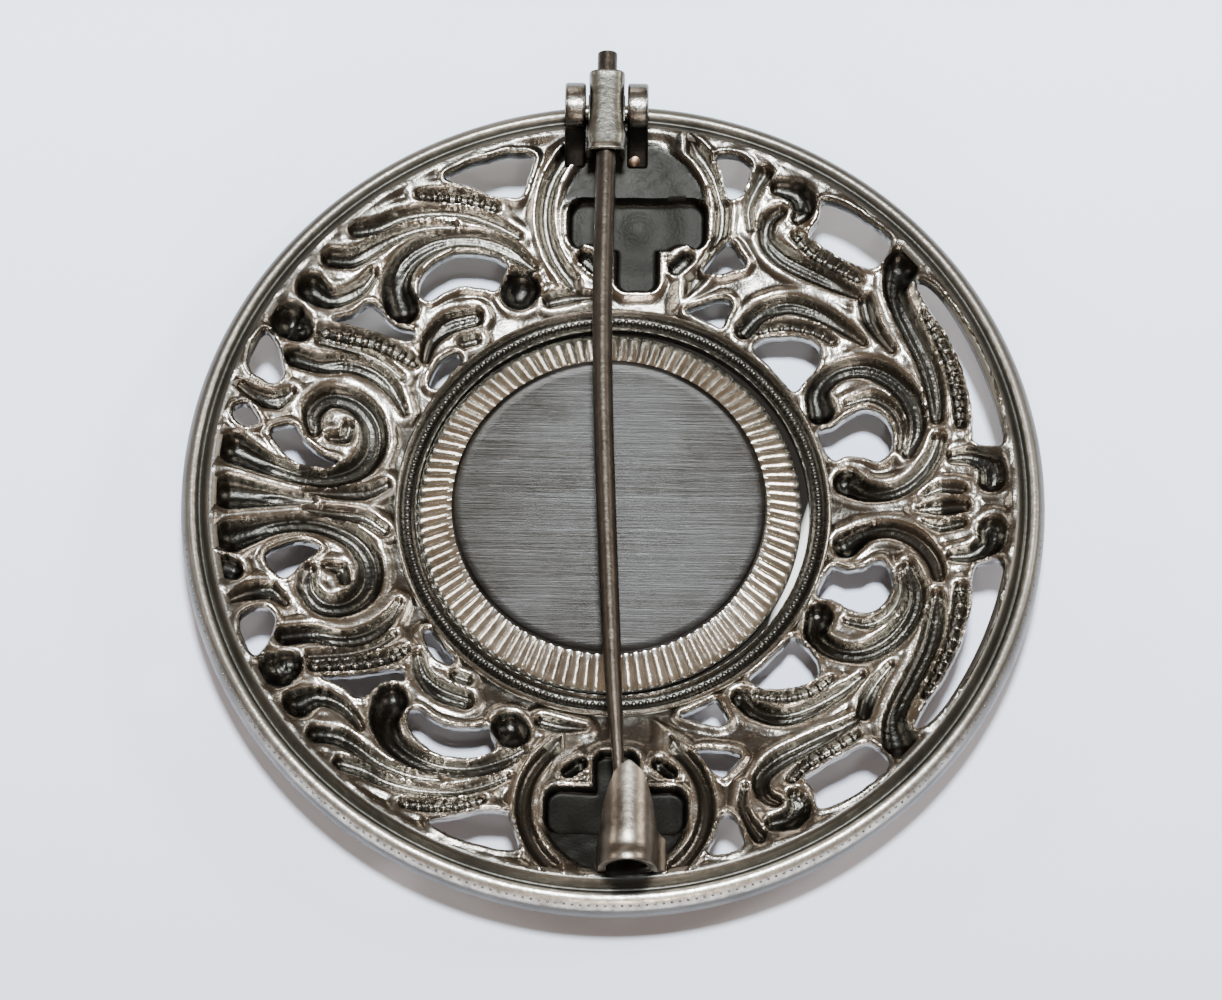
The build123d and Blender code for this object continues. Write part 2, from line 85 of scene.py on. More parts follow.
def cornersOf(piece):
    return np.array([v.co for v in piece.data.vertices])


def copiedPiece(name, pattern, placed):
    # the pattern's faces, once for each set of its corners
    polygons = [list(p.vertices) for p in pattern.data.polygons]
    bpy.data.objects.remove(pattern)
    faces = []
    for k, corners in enumerate(placed):
        faces += [[v + k * len(corners) for v in polygon] for polygon in polygons]
    return newPiece(name, np.vstack(placed), faces)


def cleanMesh(piece, mergeWithin=0):
    selectOnly(piece)
    bpy.ops.object.mode_set(mode="EDIT")
    bpy.ops.mesh.select_all(action="SELECT")
    if mergeWithin:
        bpy.ops.mesh.remove_doubles(threshold=mergeWithin)
    bpy.ops.mesh.normals_make_consistent(inside=False)
    bpy.ops.object.mode_set(mode="OBJECT")


def addWall(piece, thickness, offset, bevel, segments, bevelFrom):
    # a surface is given its wall, and the wall's edges are softened
    wall = piece.modifiers.new("wall", "SOLIDIFY")
    wall.thickness = thickness * mm
    wall.offset = offset
    edge = piece.modifiers.new("edge", "BEVEL")
    edge.width = bevel * mm
    edge.segments = segments
    edge.limit_method = "ANGLE"
    edge.angle_limit = math.radians(bevelFrom)
    selectOnly(piece)
    for modifier in list(piece.modifiers):
        bpy.ops.object.modifier_apply(modifier=modifier.name)
    cleanMesh(piece)


def smoothPiece(piece, degrees):
    selectOnly(piece)
    bpy.ops.object.shade_smooth_by_angle(angle=math.radians(degrees))
    return piece


def joinPieces(pieces, name):
    selectOnly(*pieces)
    bpy.ops.object.join()
    pieces[0].name = name
    return pieces[0]


def setMaterial(piece, material):
    piece.data.materials.clear()
    piece.data.materials.append(material)


def finishPiece(piece, body, slot, material, *nodes):
    # its place goes into the mesh, then it rides on its body
    selectOnly(piece)
    bpy.ops.object.transform_apply(location=True, rotation=True, scale=True)
    setMaterial(piece, material)
    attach(piece, body)
    if nodes:
        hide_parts(*nodes)


# Materials

def newMaterial(name):
    material = bpy.data.materials.new(name)
    material.use_nodes = True
    tree = material.node_tree
    return material, tree, tree.nodes.new("ShaderNodeTexCoord").outputs["Object"]


def feed(tree, value, socket):
    # a number or a colour is set on the socket, an output is linked to it
    if isinstance(value, (int, float)):
        socket.default_value = value
    elif isinstance(value, tuple):
        socket.default_value = (*value, 1)
    else:
        tree.links.new(value, socket)


def feedNamed(tree, node, values):
    for name, value in values.items():
        feed(tree, value, node.inputs[name])


def addAttribute(tree, name):
    node = tree.nodes.new("ShaderNodeAttribute")
    node.attribute_name = name
    return node.outputs["Fac"]


def addNoise(tree, coords, scale, detail, rough=0.5, stretch=None):
    if stretch:
        mapping = tree.nodes.new("ShaderNodeMapping")
        mapping.inputs["Scale"].default_value = stretch
        tree.links.new(coords, mapping.inputs["Vector"])
        coords = mapping.outputs["Vector"]
    noise = tree.nodes.new("ShaderNodeTexNoise")
    feedNamed(tree, noise, {"Scale": scale, "Detail": detail, "Roughness": rough, "Vector": coords})
    return noise.outputs["Fac"]


def addRamp(tree, value, stops):
    ramp = tree.nodes.new("ShaderNodeValToRGB")
    elements = ramp.color_ramp.elements
    for place, colour in stops[1:-1]:
        elements.new(place).color = (*colour, 1)
    for element, (place, colour) in ((elements[0], stops[0]), (elements[-1], stops[-1])):
        element.position = place
        element.color = (*colour, 1)
    tree.links.new(value, ramp.inputs["Fac"])
    return ramp.outputs["Color"]


def addRange(tree, value, low, high, end=1.0):
    # 0 at the low value, the end value at the high one
    node = tree.nodes.new("ShaderNodeMapRange")
    feedNamed(tree, node, {"Value": value, "From Min": low, "From Max": high, "To Max": end})
    return node.outputs["Result"]


def addMath(tree, operation, *values, clamp=False):
    node = tree.nodes.new("ShaderNodeMath")
    node.operation = operation
    node.use_clamp = clamp
    for value, socket in zip(values, node.inputs):
        feed(tree, value, socket)
    return node.outputs["Value"]


def addMix(tree, factor, first, second):
    node = tree.nodes.new("ShaderNodeMix")
    node.data_type = "RGBA"
    for value, number in ((factor, 0), (first, 6), (second, 7)):
        feed(tree, value, node.inputs[number])
    return node.outputs[2]


def addBump(tree, height, strength):
    bump = tree.nodes.new("ShaderNodeBump")
    feedNamed(tree, bump, {"Strength": strength, "Distance": 0.05 * mm, "Height": height})
    return bump.outputs["Normal"]


def splitCoords(tree, coords):
    split = tree.nodes.new("ShaderNodeSeparateXYZ")
    tree.links.new(coords, split.inputs["Vector"])
    return split.outputs["X"], split.outputs["Y"], split.outputs["Z"]


def fillShader(tree, values):
    feedNamed(tree, tree.nodes["Principled BSDF"], values)


silverLook = {
    # from the bare land to soot in the deepest hollows; the darkest tones also serve painted shade
    "tones": [(0.0, (0.32, 0.287, 0.24)), (0.2, (0.152, 0.137, 0.115)), (0.5, (0.074, 0.068, 0.057)),
              (0.8, (0.028, 0.0262, 0.0225)), (1.0, (0.015, 0.0142, 0.0122))],
    # the bright colour of wear, also used for painted highlights
    "wornAndHighlight": (0.74, 0.705, 0.63),
    "cloudScale": 330, "grainScale": 5200, "pitScale": 1700,
    # a factor, then what is added
    "grime": (0.55, -0.26), "speck": (3.0, -1.0), "sootAndShade": (2.0, -1.9),
    "cloudRough": 0.24, "wornRough": -0.10, "sootRough": 0.38, "pitHeight": 0.7, "bump": 0.45,
}


def oxidisedSilver(name, roughness):
    # darkness comes from the piece's own hollow attribute, patina in hollows with painted shade in places,
    # brightness from its wearAndHighlight attribute, wear with a painted highlight in places
    material, tree, coords = newMaterial(name)
    look = silverLook
    hollow = addAttribute(tree, "hollow")
    cloud = addNoise(tree, coords, look["cloudScale"], 5, 0.6)
    grain = addNoise(tree, coords, look["grainScale"], 3, 0.6)
    pits = addNoise(tree, coords, look["pitScale"], 5, 0.7)
    grime = addMath(tree, "MULTIPLY_ADD", cloud, *look["grime"])
    base = addRamp(tree, addMath(tree, "ADD", hollow, grime, clamp=True), look["tones"])
    speck = addMath(tree, "MULTIPLY_ADD", pits, *look["speck"], clamp=True)
    wornAndHighlight = addMath(tree, "MULTIPLY", addAttribute(tree, "wearAndHighlight"), speck, clamp=True)
    rough = addMath(tree, "MULTIPLY_ADD", cloud, look["cloudRough"], roughness)
    rough = addMath(tree, "ADD", rough, addMath(tree, "MULTIPLY", wornAndHighlight, look["wornRough"]))
    # above 1 it is matt: soot in the deepest recesses, and painted shade
    sootAndShade = addMath(tree, "MULTIPLY_ADD", hollow, *look["sootAndShade"], clamp=True)
    rough = addMath(tree, "ADD", rough, addMath(tree, "MULTIPLY", sootAndShade, look["sootRough"]), clamp=True)
    height = addMath(tree, "MULTIPLY_ADD", pits, look["pitHeight"], grain)
    base = addMix(tree, wornAndHighlight, base, look["wornAndHighlight"])
    fillShader(tree, {"Base Color": base, "Metallic": 1.0, "Roughness": rough,
                      "Normal": addBump(tree, height, look["bump"])})
    return material


def wornSilver(name, colour, patchColour, roughness, patchScale, bump):
    # patches of a darker colour, with a fine grain that moves the roughness by 0.1 either way
    material, tree, coords = newMaterial(name)
    cloud = addNoise(tree, coords, patchScale, 5, 0.6)
    fine = addNoise(tree, coords, 3500, 4, 0.6)
    base = addRamp(tree, cloud, [(0.35, patchColour), (0.65, colour)])
    fillShader(tree, {"Base Color": base, "Metallic": 1.0,
                      "Roughness": addMath(tree, "MULTIPLY_ADD", fine, 0.2, roughness - 0.1),
                      "Normal": addBump(tree, fine, bump)})
    return material


discLook = {
    "scratchStretch": (210, 7600, 600), "longStretch": (50, 2600, 200), "stainScale": 170,
    # painted shade towards the edge: from and to which distance, and how much darker
    "edge": (5.5 * mm, 8.8 * mm, -0.20),
    "tones": [(0.40, (0.017, 0.015, 0.0125)), (0.60, (0.026, 0.0238, 0.0212)),
              (0.82, (0.040, 0.0378, 0.0352))],
    "scratch": (4.5, -2.75), "scratchColour": (0.145, 0.142, 0.136), "rough": (0.25, 0.26), "bump": 0.38,
}


def brushedDisc():
    # near-horizontal scratches across a dull, stained face; painted shade darkens it towards its edge
    material, tree, coords = newMaterial("brushed_disc")
    look = discLook
    scratch = addNoise(tree, coords, 1, 5, 0.75, look["scratchStretch"])
    longScratch = addNoise(tree, coords, 1, 2, 0.5, look["longStretch"])
    stain = addNoise(tree, coords, look["stainScale"], 5, 0.6)
    length = tree.nodes.new("ShaderNodeVectorMath")
    length.operation = "LENGTH"
    tree.links.new(coords, length.inputs[0])
    # painted shade, darker towards the edge
    edge = addRange(tree, length.outputs["Value"], *look["edge"])
    tone = addMath(tree, "ADD", addMath(tree, "MULTIPLY_ADD", longScratch, 0.5, stain), edge)
    bright = addMath(tree, "MULTIPLY_ADD", scratch, *look["scratch"], clamp=True)
    base = addMix(tree, bright, addRamp(tree, tone, look["tones"]), look["scratchColour"])
    fillShader(tree, {"Base Color": base, "Metallic": 1.0,
                      "Roughness": addMath(tree, "MULTIPLY_ADD", stain, *look["rough"]),
                      "Normal": addBump(tree, scratch, look["bump"])})
    return material


plaqueLook = {
    "tones": [(0.3, (0.72, 0.68, 0.58)), (0.7, (0.86, 0.84, 0.77))], "grimeAndShade": (0.013, 0.011, 0.009),
    "litAndClean": (9.9 * mm, 10.3 * mm), "lean": -0.30, "back": (1.2 * mm, 1.6 * mm),
    "shine": (-0.5, 0.5), "rough": (0.65, 0.28),
}


def creamPlaque():
    # polished cream; grime and painted shade darken the back, except for a short stretch on the right
    material, tree, coords = newMaterial("cream_plaque")
    look = plaqueLook
    x, y, z = splitCoords(tree, coords)
    toRight = addMath(tree, "ADD", x, addMath(tree, "MULTIPLY", y, look["lean"]))
    # painted shade and grime, away from the lit stretch on the right
    grimeAndShade = addMath(tree, "SUBTRACT", 1.0, addRange(tree, toRight, *look["litAndClean"]), clamp=True)
    grimeAndShade = addMath(tree, "MULTIPLY", grimeAndShade, addRange(tree, z, *look["back"]))
    base = addRamp(tree, addNoise(tree, coords, 260, 4), look["tones"])
    fillShader(tree, {"Base Color": addMix(tree, grimeAndShade, base, look["grimeAndShade"]),
                      "Specular IOR Level": addMath(tree, "MULTIPLY_ADD", grimeAndShade, *look["shine"], clamp=True),
                      "Roughness": addMath(tree, "MULTIPLY_ADD", grimeAndShade, *look["rough"])})
    return material


tableLook = {
    "reach": 28 * mm, "cloud": 0.04, "cloudColour": (0.6, 0.6, 0.62), "rough": 0.65,
    # the tones run from the viewer's side to the far side: painted falloff of the light
    "tones": [(0.0, (0.56, 0.56, 0.595)), (0.45, (0.685, 0.705, 0.805)), (1.0, (0.81, 0.87, 0.94))],
}


def paleTable():
    # bluish white, with a painted falloff of the light: a little darker towards the viewer
    material, tree, coords = newMaterial("pale_table")
    look = tableLook
    y = splitCoords(tree, coords)[1]
    base = addRamp(tree, addRange(tree, y, -look["reach"], look["reach"]), look["tones"])
    cloud = addMath(tree, "MULTIPLY", addNoise(tree, coords, 14, 3), look["cloud"])
    base = addMix(tree, cloud, base, look["cloudColour"])
    fillShader(tree, {"Base Color": base, "Roughness": look["rough"]})
    return material


silver = oxidisedSilver("oxidised_silver", 0.15)
rimSilver = oxidisedSilver("rim_silver", 0.29)
wornLooks = {
    # colour, patch colour, roughness, patch scale, bump
    "sleeve_silver": ((0.18, 0.170, 0.143), (0.11, 0.100, 0.081), 0.34, 900, 0.5),
    "catch_silver": ((0.20, 0.172, 0.140), (0.085, 0.07, 0.055), 0.35, 300, 0.3),
    "mill_silver": ((0.84, 0.84, 0.79), (0.52, 0.51, 0.465), 0.21, 620, 0.3),
    "ring_silver": ((0.115, 0.106, 0.091), (0.055, 0.05, 0.042), 0.32, 520, 0.4),
    "ear_silver": ((0.24, 0.219, 0.188), (0.050, 0.045, 0.038), 0.27, 420, 0.4),
    "wire_metal": ((0.050, 0.041, 0.032), (0.033, 0.026, 0.020), 0.42, 800, 0.5),
    "solder": ((0.20, 0.125, 0.085), (0.08, 0.052, 0.038), 0.4, 900, 0.3),
}
metals = {name: wornSilver(name, *look) for name, look in wornLooks.items()}
print("materials made")


# Openwork sheet

sheet = {
    "innerRadius": 11.25,
    "outerRadius": 20.95,
    "thickness": 0.85,
    "dish": ((11.35, -0.6), (16.05, 0.42), (20.75, 1.6)),
    "backStep": 0.12,
    "frontStep": 0.3,
    "outlineStep": 0.14,
}
# ornament on both halves of the picture, the upper or the lower
both, upper, lower = (1, -1), (1,), (-1,)

# hollows: sides, then points of x, y and half width
hollows = [
    (both, [(-19.75, 2.45, 0.72), (-18.9, 2.1, 0.6), (-17.6, 1.6, 0.42), (-16.2, 1.3, 0.4),
            (-14.8, 1.4, 0.45), (-13.4, 2.0, 0.5), (-12.6, 3.2, 0.55), (-12.7, 4.7, 0.55), (-13.7, 5.7, 0.5),
            (-15.0, 5.8, 0.5), (-15.8, 4.9, 0.42), (-15.7, 3.9, 0.3)]),
    (both, [(-14.8, 3.6, 0.2), (-14.1, 3.7, 0.3), (-13.9, 4.3, 0.25)]),
    (upper, [(-19.95, 0.0, 0.78), (-19.2, 0.0, 0.66), (-17.4, 0.0, 0.4), (-15.6, 0.0, 0.15)]),
    (both, [(-16.0, 0.5, 0.12), (-14.5, 0.55, 0.28), (-13.0, 0.7, 0.32), (-11.9, 1.3, 0.25)]),
    (both, [(-16.8, 7.8, 0.45), (-15.5, 7.55, 0.42), (-14.0, 7.7, 0.4), (-12.6, 7.3, 0.4), (-11.6, 6.4, 0.3),
            (-11.0, 5.3, 0.15)]),
    (both, [(-19.6, 6.0, 0.2), (-18.7, 5.5, 0.38), (-17.7, 5.3, 0.4), (-16.9, 5.9, 0.2)]),
    (both, [(-17.05, 9.7, 0.85), (-16.6, 9.4, 0.6)]),
    (both, [(-15.3, 9.35, 0.3), (-14.0, 9.2, 0.34), (-12.5, 8.95, 0.34), (-11.2, 8.4, 0.3),
            (-10.6, 8.0, 0.2)]),
    (both, [(-16.0, 11.6, 0.65), (-15.2, 11.15, 0.5), (-14.2, 11.35, 0.36), (-13.3, 12.0, 0.3),
            (-12.8, 12.7, 0.2)]),
    (both, [(-15.0, 13.3, 0.42), (-14.0, 13.35, 0.42), (-13.0, 13.9, 0.34), (-11.8, 14.7, 0.28),
            (-10.3, 15.3, 0.22), (-8.6, 15.5, 0.14)]),
    (both, [(-13.7, 14.9, 0.35), (-12.6, 15.2, 0.34), (-11.4, 15.8, 0.28), (-9.8, 16.15, 0.24),
            (-8.0, 16.15, 0.24), (-6.4, 15.7, 0.24), (-5.2, 15.1, 0.15)]),
    (both, [(-10.4, 17.0, 0.22), (-9.2, 17.05, 0.3), (-7.8, 16.95, 0.28), (-6.5, 16.55, 0.2)]),
    (both, [(-11.3, 11.0, 0.75), (-11.6, 12.1, 0.62), (-11.2, 13.3, 0.52), (-10.2, 14.2, 0.45),
            (-8.8, 14.75, 0.36), (-7.1, 14.8, 0.36), (-5.6, 14.3, 0.36), (-4.4, 13.5, 0.2)]),
    (both, [(-5.15, 12.25, 0.8), (-5.0, 12.45, 0.78)]),
    (both, [(-3.5, 11.8, 0.3), (-2.5, 12.05, 0.3), (-1.3, 12.1, 0.12)]),
    (both, [(-10.0, 8.3, 0.22), (-9.7, 9.4, 0.36), (-8.8, 10.3, 0.45), (-7.5, 10.75, 0.42)]),
    (both, [(-8.0, 9.35, 0.25), (-7.4, 9.55, 0.25)]),
    (both, [(8.5, 17.75, 0.35), (9.45, 17.5, 0.5), (9.85, 16.75, 0.5), (9.55, 16.15, 0.3)]),
    (both, [(8.6, 16.5, 0.25), (7.95, 16.0, 0.34), (7.9, 15.0, 0.38), (8.7, 14.1, 0.42), (10.0, 13.35, 0.42),
            (11.5, 12.55, 0.34), (12.6, 11.9, 0.2)]),
    (both, [(7.75, 18.5, 0.32), (7.25, 17.7, 0.25), (6.9, 16.7, 0.2), (7.0, 15.6, 0.14)]),
    (both, [(9.4, 15.2, 0.22), (10.4, 14.2, 0.26), (11.6, 13.45, 0.26), (12.7, 12.75, 0.2)]),
    (both, [(14.9, 13.25, 0.75), (14.65, 12.1, 0.5), (15.0, 10.9, 0.45), (15.7, 9.4, 0.45),
            (16.4, 7.8, 0.45), (16.75, 6.2, 0.4), (16.85, 5.0, 0.3)]),
    (both, [(13.1, 11.5, 0.32), (13.3, 10.7, 0.36), (13.75, 9.8, 0.26), (14.5, 8.8, 0.15)]),
    (both, [(16.3, 10.7, 0.22), (16.95, 9.4, 0.3), (17.55, 8.0, 0.32), (17.95, 6.3, 0.32),
            (18.1, 4.6, 0.28)]),
    (both, [(10.8, 5.75, 0.6), (10.65, 6.9, 0.48), (11.7, 7.8, 0.42), (13.2, 7.95, 0.46), (14.6, 7.2, 0.48),
            (15.55, 5.9, 0.46), (15.8, 4.5, 0.4), (15.4, 3.2, 0.3)]),
    (both, [(12.2, 1.75, 0.6), (13.3, 1.1, 0.42), (14.7, 1.1, 0.38), (15.9, 1.8, 0.36), (16.7, 2.9, 0.34),
            (16.95, 3.8, 0.3)]),
    (both, [(6.75, 10.3, 0.42), (7.6, 11.15, 0.4), (9.0, 11.55, 0.4), (10.5, 11.1, 0.36),
            (12.0, 10.15, 0.28), (13.0, 9.3, 0.15)]),
    (both, [(17.7, 2.75, 0.25), (18.7, 2.75, 0.4), (19.6, 2.2, 0.55), (19.7, 1.4, 0.6)]),
    (upper, [(15.9, 0.0, 0.12), (17.1, 0.0, 0.36), (18.2, 0.0, 0.3)]),
    (both, [(16.2, 0.75, 0.1), (17.1, 1.1, 0.24), (18.1, 0.95, 0.24)]),
]

# finer hollows that only the visible sheet has
fineHollows = [
    (both, [(12.2, 6.1, 0.15), (13.4, 6.35, 0.22), (14.5, 5.7, 0.22), (15.0, 4.6, 0.2), (14.95, 3.4, 0.15)]),
    (both, [(-15.5, 8.8, 0.2), (-13.5, 8.45, 0.22), (-12.2, 7.95, 0.18), (-11.2, 7.2, 0.12)]),
    (both, [(7.5, 10.2, 0.18), (9.0, 10.4, 0.24), (10.6, 10.0, 0.22), (11.4, 9.4, 0.14)]),
    (lower, [(-20.1, 4.2, 0.5), (-19.7, 4.3, 0.5)]),
]

# openings: sides, then points of x and y
openings = [
    (upper, [(-19.85, 4.7), (-19.2, 5.0), (-18.75, 4.5), (-18.55, 4.0), (-19.2, 3.75), (-19.75, 4.1)]),
    (upper, [(-17.9, 3.55), (-17.2, 4.05), (-16.65, 4.0), (-16.2, 3.3), (-15.3, 2.6), (-14.35, 2.35),
             (-15.0, 1.95), (-16.2, 1.95), (-17.1, 2.45)]),
    (lower, [(-17.95, 3.3), (-17.2, 2.7), (-16.2, 2.35), (-15.2, 2.6), (-15.8, 3.25), (-16.4, 4.0),
             (-16.95, 4.5), (-17.6, 4.1)]),
    (both, [(-18.3, 9.05), (-17.8, 8.5), (-17.5, 7.7), (-17.35, 6.8), (-17.8, 6.3), (-18.6, 6.5),
            (-19.1, 6.9), (-19.1, 7.7), (-18.8, 8.5)]),
    (both, [(-14.8, 10.0), (-13.8, 10.4), (-13.0, 11.0), (-12.5, 10.8), (-11.9, 10.15), (-11.2, 9.85),
            (-10.7, 9.75), (-10.75, 9.25), (-11.5, 9.25), (-12.7, 9.6), (-13.9, 9.8)]),
    (both, [(-10.35, 11.7), (-9.8, 11.45), (-9.0, 12.0), (-8.0, 12.35), (-7.0, 12.3), (-6.35, 12.2),
            (-6.1, 12.7), (-5.85, 13.5), (-6.6, 13.95), (-7.7, 14.1), (-8.8, 13.9), (-9.7, 13.3),
            (-10.3, 12.5)]),
    (both, [(-9.1, 17.95), (-7.8, 17.6), (-6.6, 17.2), (-5.3, 17.15), (-4.95, 17.7), (-4.6, 18.7),
            (-4.55, 19.3), (-5.5, 19.4), (-6.8, 19.1), (-8.2, 18.6)]),
    (both, [(-9.75, 6.95), (-9.4, 7.9), (-8.9, 8.5), (-8.3, 8.7), (-8.1, 8.3), (-8.6, 7.75), (-9.25, 6.8)]),
    (both, [(5.15, 19.4), (6.1, 19.45), (6.9, 19.0), (6.85, 18.3), (6.55, 17.4), (5.95, 17.2), (5.7, 17.7),
            (5.45, 18.6)]),
    (both, [(10.8, 16.9), (11.8, 16.65), (13.1, 15.85), (14.2, 14.9), (14.35, 14.25), (13.65, 13.4),
            (13.0, 13.35), (11.8, 13.95), (10.7, 14.65), (10.15, 15.2), (10.6, 16.0)]),
    (both, [(15.75, 12.4), (16.5, 12.15), (17.85, 10.4), (19.0, 8.4), (19.8, 6.2), (20.2, 4.2), (20.15, 3.3),
            (19.4, 3.25), (18.75, 3.6), (18.65, 5.5), (18.2, 7.4), (17.35, 9.4), (16.3, 11.1)]),
    (both, [(3.7, 11.35), (4.7, 11.75), (5.7, 11.95), (6.05, 11.6), (5.75, 10.9), (5.5, 10.45), (4.9, 10.7),
            (4.2, 11.05)]),
    (both, [(4.55, 13.4), (5.5, 13.35), (6.7, 13.65), (6.45, 14.25), (5.9, 14.95), (5.35, 14.6),
            (4.9, 14.0)]),
    (both, [(7.25, 9.2), (8.05, 8.35), (8.95, 7.35), (9.4, 6.9), (9.9, 7.3), (10.55, 8.15), (10.75, 9.0),
            (10.2, 9.6), (9.0, 9.85), (7.8, 9.75)]),
    (both, [(10.75, 4.6), (11.5, 4.85), (12.4, 5.45), (13.3, 5.65), (14.15, 5.15), (14.55, 4.2),
            (14.35, 3.2), (13.8, 2.8), (13.0, 3.1), (12.2, 3.2), (11.5, 3.0), (10.95, 3.75)]),
]

# beaded channels: sides, spacing, bead radius, then points of x and y
beadRows = [
    (both, 0.62, 0.25, [(-15.2, 9.35), (-14.0, 9.2), (-12.5, 8.95), (-11.2, 8.4), (-10.7, 8.05)]),
    (both, 0.62, 0.22, [(-10.3, 17.0), (-9.2, 17.05), (-7.8, 16.95), (-6.6, 16.6)]),
    (both, 0.58, 0.2, [(9.5, 15.1), (10.4, 14.2), (11.6, 13.45), (12.6, 12.8)]),
    (both, 0.62, 0.22, [(16.4, 10.5), (16.95, 9.4), (17.55, 8.0), (17.95, 6.3), (18.1, 4.8)]),
    (both, 0.5, 0.17, [(7.6, 10.2), (9.0, 10.4), (10.6, 10.0), (11.3, 9.5)]),
]

medallion = {
    "grooveRadius": 4.7, "grooveHalf": 0.45, "grooveGap": 2.7, "grooveTaper": 0.6, "grooveDepth": 0.45,
    "lobes": (3.72, 1.42, 0.9), "arm": (1.22, 1.9, 0.7), "armOut": 1.65, "depth": 0.8, "wall": 0.3,
    "eyeTurn": 40, "eyeLong": 0.8, "eyeShort": 0.4, "eyeRing": 0.84, "eyeWall": 0.2, "eyeDepth": 0.6,
    "around": 4.05, "outerFrom": 0.6, "outerRun": 0.8,
    # swells of the floor and raised edges: height, place and width
    "floorRing": (0.16, 2.7, 0.9), "floorMiddle": (0.2, 0, 0.9),
    "crossRidge": (1, 0.16, 0.14), "eyeRidge": (1, 0.14, 0.12), "grooveRidge": (0.6, 0.14, 0.12),
}

# the two were struck a little differently: cross, groove and eyes in x and y away from the middle
medallionPlaces = {
    1: {"cross": (1.05, 15.85), "groove": (0.85, 16.3), "eyesX": (-1.42, 3.38), "eyesY": 13.85},
    -1: {"cross": (0.40, 17.0), "groove": (0.36, 16.85), "eyesX": (-1.75, 2.88), "eyesY": 14.5},
}

# a distance that stands for "not near"
farAway = 9.0


def smoothLine(points, step, closed=False):
    # a Catmull-Rom line through the points, with any further columns carried along
    given = np.array(points, float)
    if closed:
        padded = np.vstack([given[-1], given, given[0], given[1]])
    else:
        padded = np.vstack([2 * given[0] - given[1], given, 2 * given[-1] - given[-2]])
    rows = []
    for k in range(1, len(padded) - 2):
        p0, p1, p2, p3 = padded[k - 1:k + 3]
        count = max(2, int(np.hypot(*(p2 - p1)[:2]) / step))
        for t in np.arange(count)[:, None] / count:
            rows.append(0.5 * (2 * p1 + (p2 - p0) * t + (2 * p0 - 5 * p1 + 4 * p2 - p3) * t ** 2
                               + (3 * p1 - p0 - 3 * p2 + p3) * t ** 3))
    if not closed:
        rows.append(given[-1])
    return np.array(rows)


def mirrored(points, side):
    flipped = np.array(points, float)
    flipped[:, 1] *= side
    return flipped


def dishRise(radius):
    (r0, z0), (r1, z1), (r2, z2) = sheet["dish"]
    slopeIn = (z1 - z0) / (r1 - r0)
    slopeOut = (z2 - z1) / (r2 - r1)
    bend = (slopeOut - slopeIn) / (r2 - r0)
    run = np.clip(radius, r0, r2) - r0
    return z0 + run * slopeIn + bend * run * (run - (r1 - r0))


def roundBox(dx, dy, halfX, halfY, corner):
    # signed distance to a box with round corners
    qx = np.abs(dx) - halfX + corner
    qy = np.abs(dy) - halfY + corner
    outside = np.hypot(np.maximum(qx, 0), np.maximum(qy, 0))
    return outside + np.minimum(np.maximum(qx, qy), 0) - corner


def indexNear(px, py, line, margin):
    # the points in the line's own box, widened by the margin
    low, high = line.min(0) - margin, line.max(0) + margin
    return np.nonzero((px > low[0]) & (px < high[0]) & (py > low[1]) & (py < high[1]))[0]


def edgeDistance(px, py, outlines, margin):
    # distance to the nearest outline point, where one is near
    nearest = np.full(len(px), farAway)
    for outline in outlines:
        index = indexNear(px, py, outline, margin)
        if len(index):
            gap = np.hypot(px[index, None] - outline[:, 0], py[index, None] - outline[:, 1]).min(1)
            nearest[index] = np.minimum(nearest[index], gap)
    return nearest


def insideOutline(px, py, outline):
    result = np.zeros(len(px), bool)
    index = indexNear(px, py, outline, 0)
    x, y = px[index], py[index]
    within = np.zeros(len(index), bool)
    for (ax, ay), (bx, by) in zip(outline, np.roll(outline, -1, axis=0)):
        safe = by - ay if abs(by - ay) > 1e-12 else 1e-12
        within ^= ((ay > y) != (by > y)) & (x < ax + (y - ay) / safe * (bx - ax))
    result[index] = within
    return result


# slope and rib are the soft shoulder of a hollow and the raised ribs along a wide one
relief = {
    "lineStep": 0.35, "widen": (1.15, 0.05), "leastHalf": 0.16, "reach": 0.9,
    "slope": 0.5, "slopeShare": 0.24, "baseDepth": 0.2, "depthPerWidth": 0.85,
    "ribWidth": 0.38, "ribFrom": 1.3, "ribRun": 1.2, "midRib": (0.13, 0.1, 0.2), "sideRib": (0.05, 0.62, 0.1),
    "fade": (0.26, 0, 2.2),
}

strokeLines = []
for sides, points in hollows + fineHollows:
    for side in sides:
        strokeLine = smoothLine(mirrored(points, side), relief["lineStep"])
        factor, added = relief["widen"]
        strokeLine[:, 2] = np.maximum(factor * strokeLine[:, 2] + added, relief["leastHalf"])
        strokeLines.append(strokeLine)


def strokeField(px, py, line):
    # distance from one stroke's middle and edge, its half width there, and how far along it
    fields = [np.full(len(px), value) for value in (farAway, farAway, 0.3, 0.0)]
    index = indexNear(px, py, line, line[:, 2].max() + relief["reach"])
    if len(index) == 0:
        return fields
    x, y = px[index], py[index]
    far, beyond, width, along = (field[index] for field in fields)
    walked = 0.0
    for (ax, ay, aw), (bx, by, bw) in zip(line[:-1], line[1:]):
        ex, ey = bx - ax, by - ay
        size = math.hypot(ex, ey)
        t = unit(((x - ax) * ex + (y - ay) * ey) / max(size * size, 1e-9))
        half = aw + (bw - aw) * t
        gap = np.hypot(x - ax - t * ex, y - ay - t * ey)
        better = gap - half < beyond
        beyond = np.where(better, gap - half, beyond)
        far = np.where(better, gap, far)
        width = np.where(better, half, width)
        along = np.where(better, walked + t * size, along)
        walked += size
    for field, found in zip(fields, (far, beyond, width, along)):
        field[index] = found
    return fields


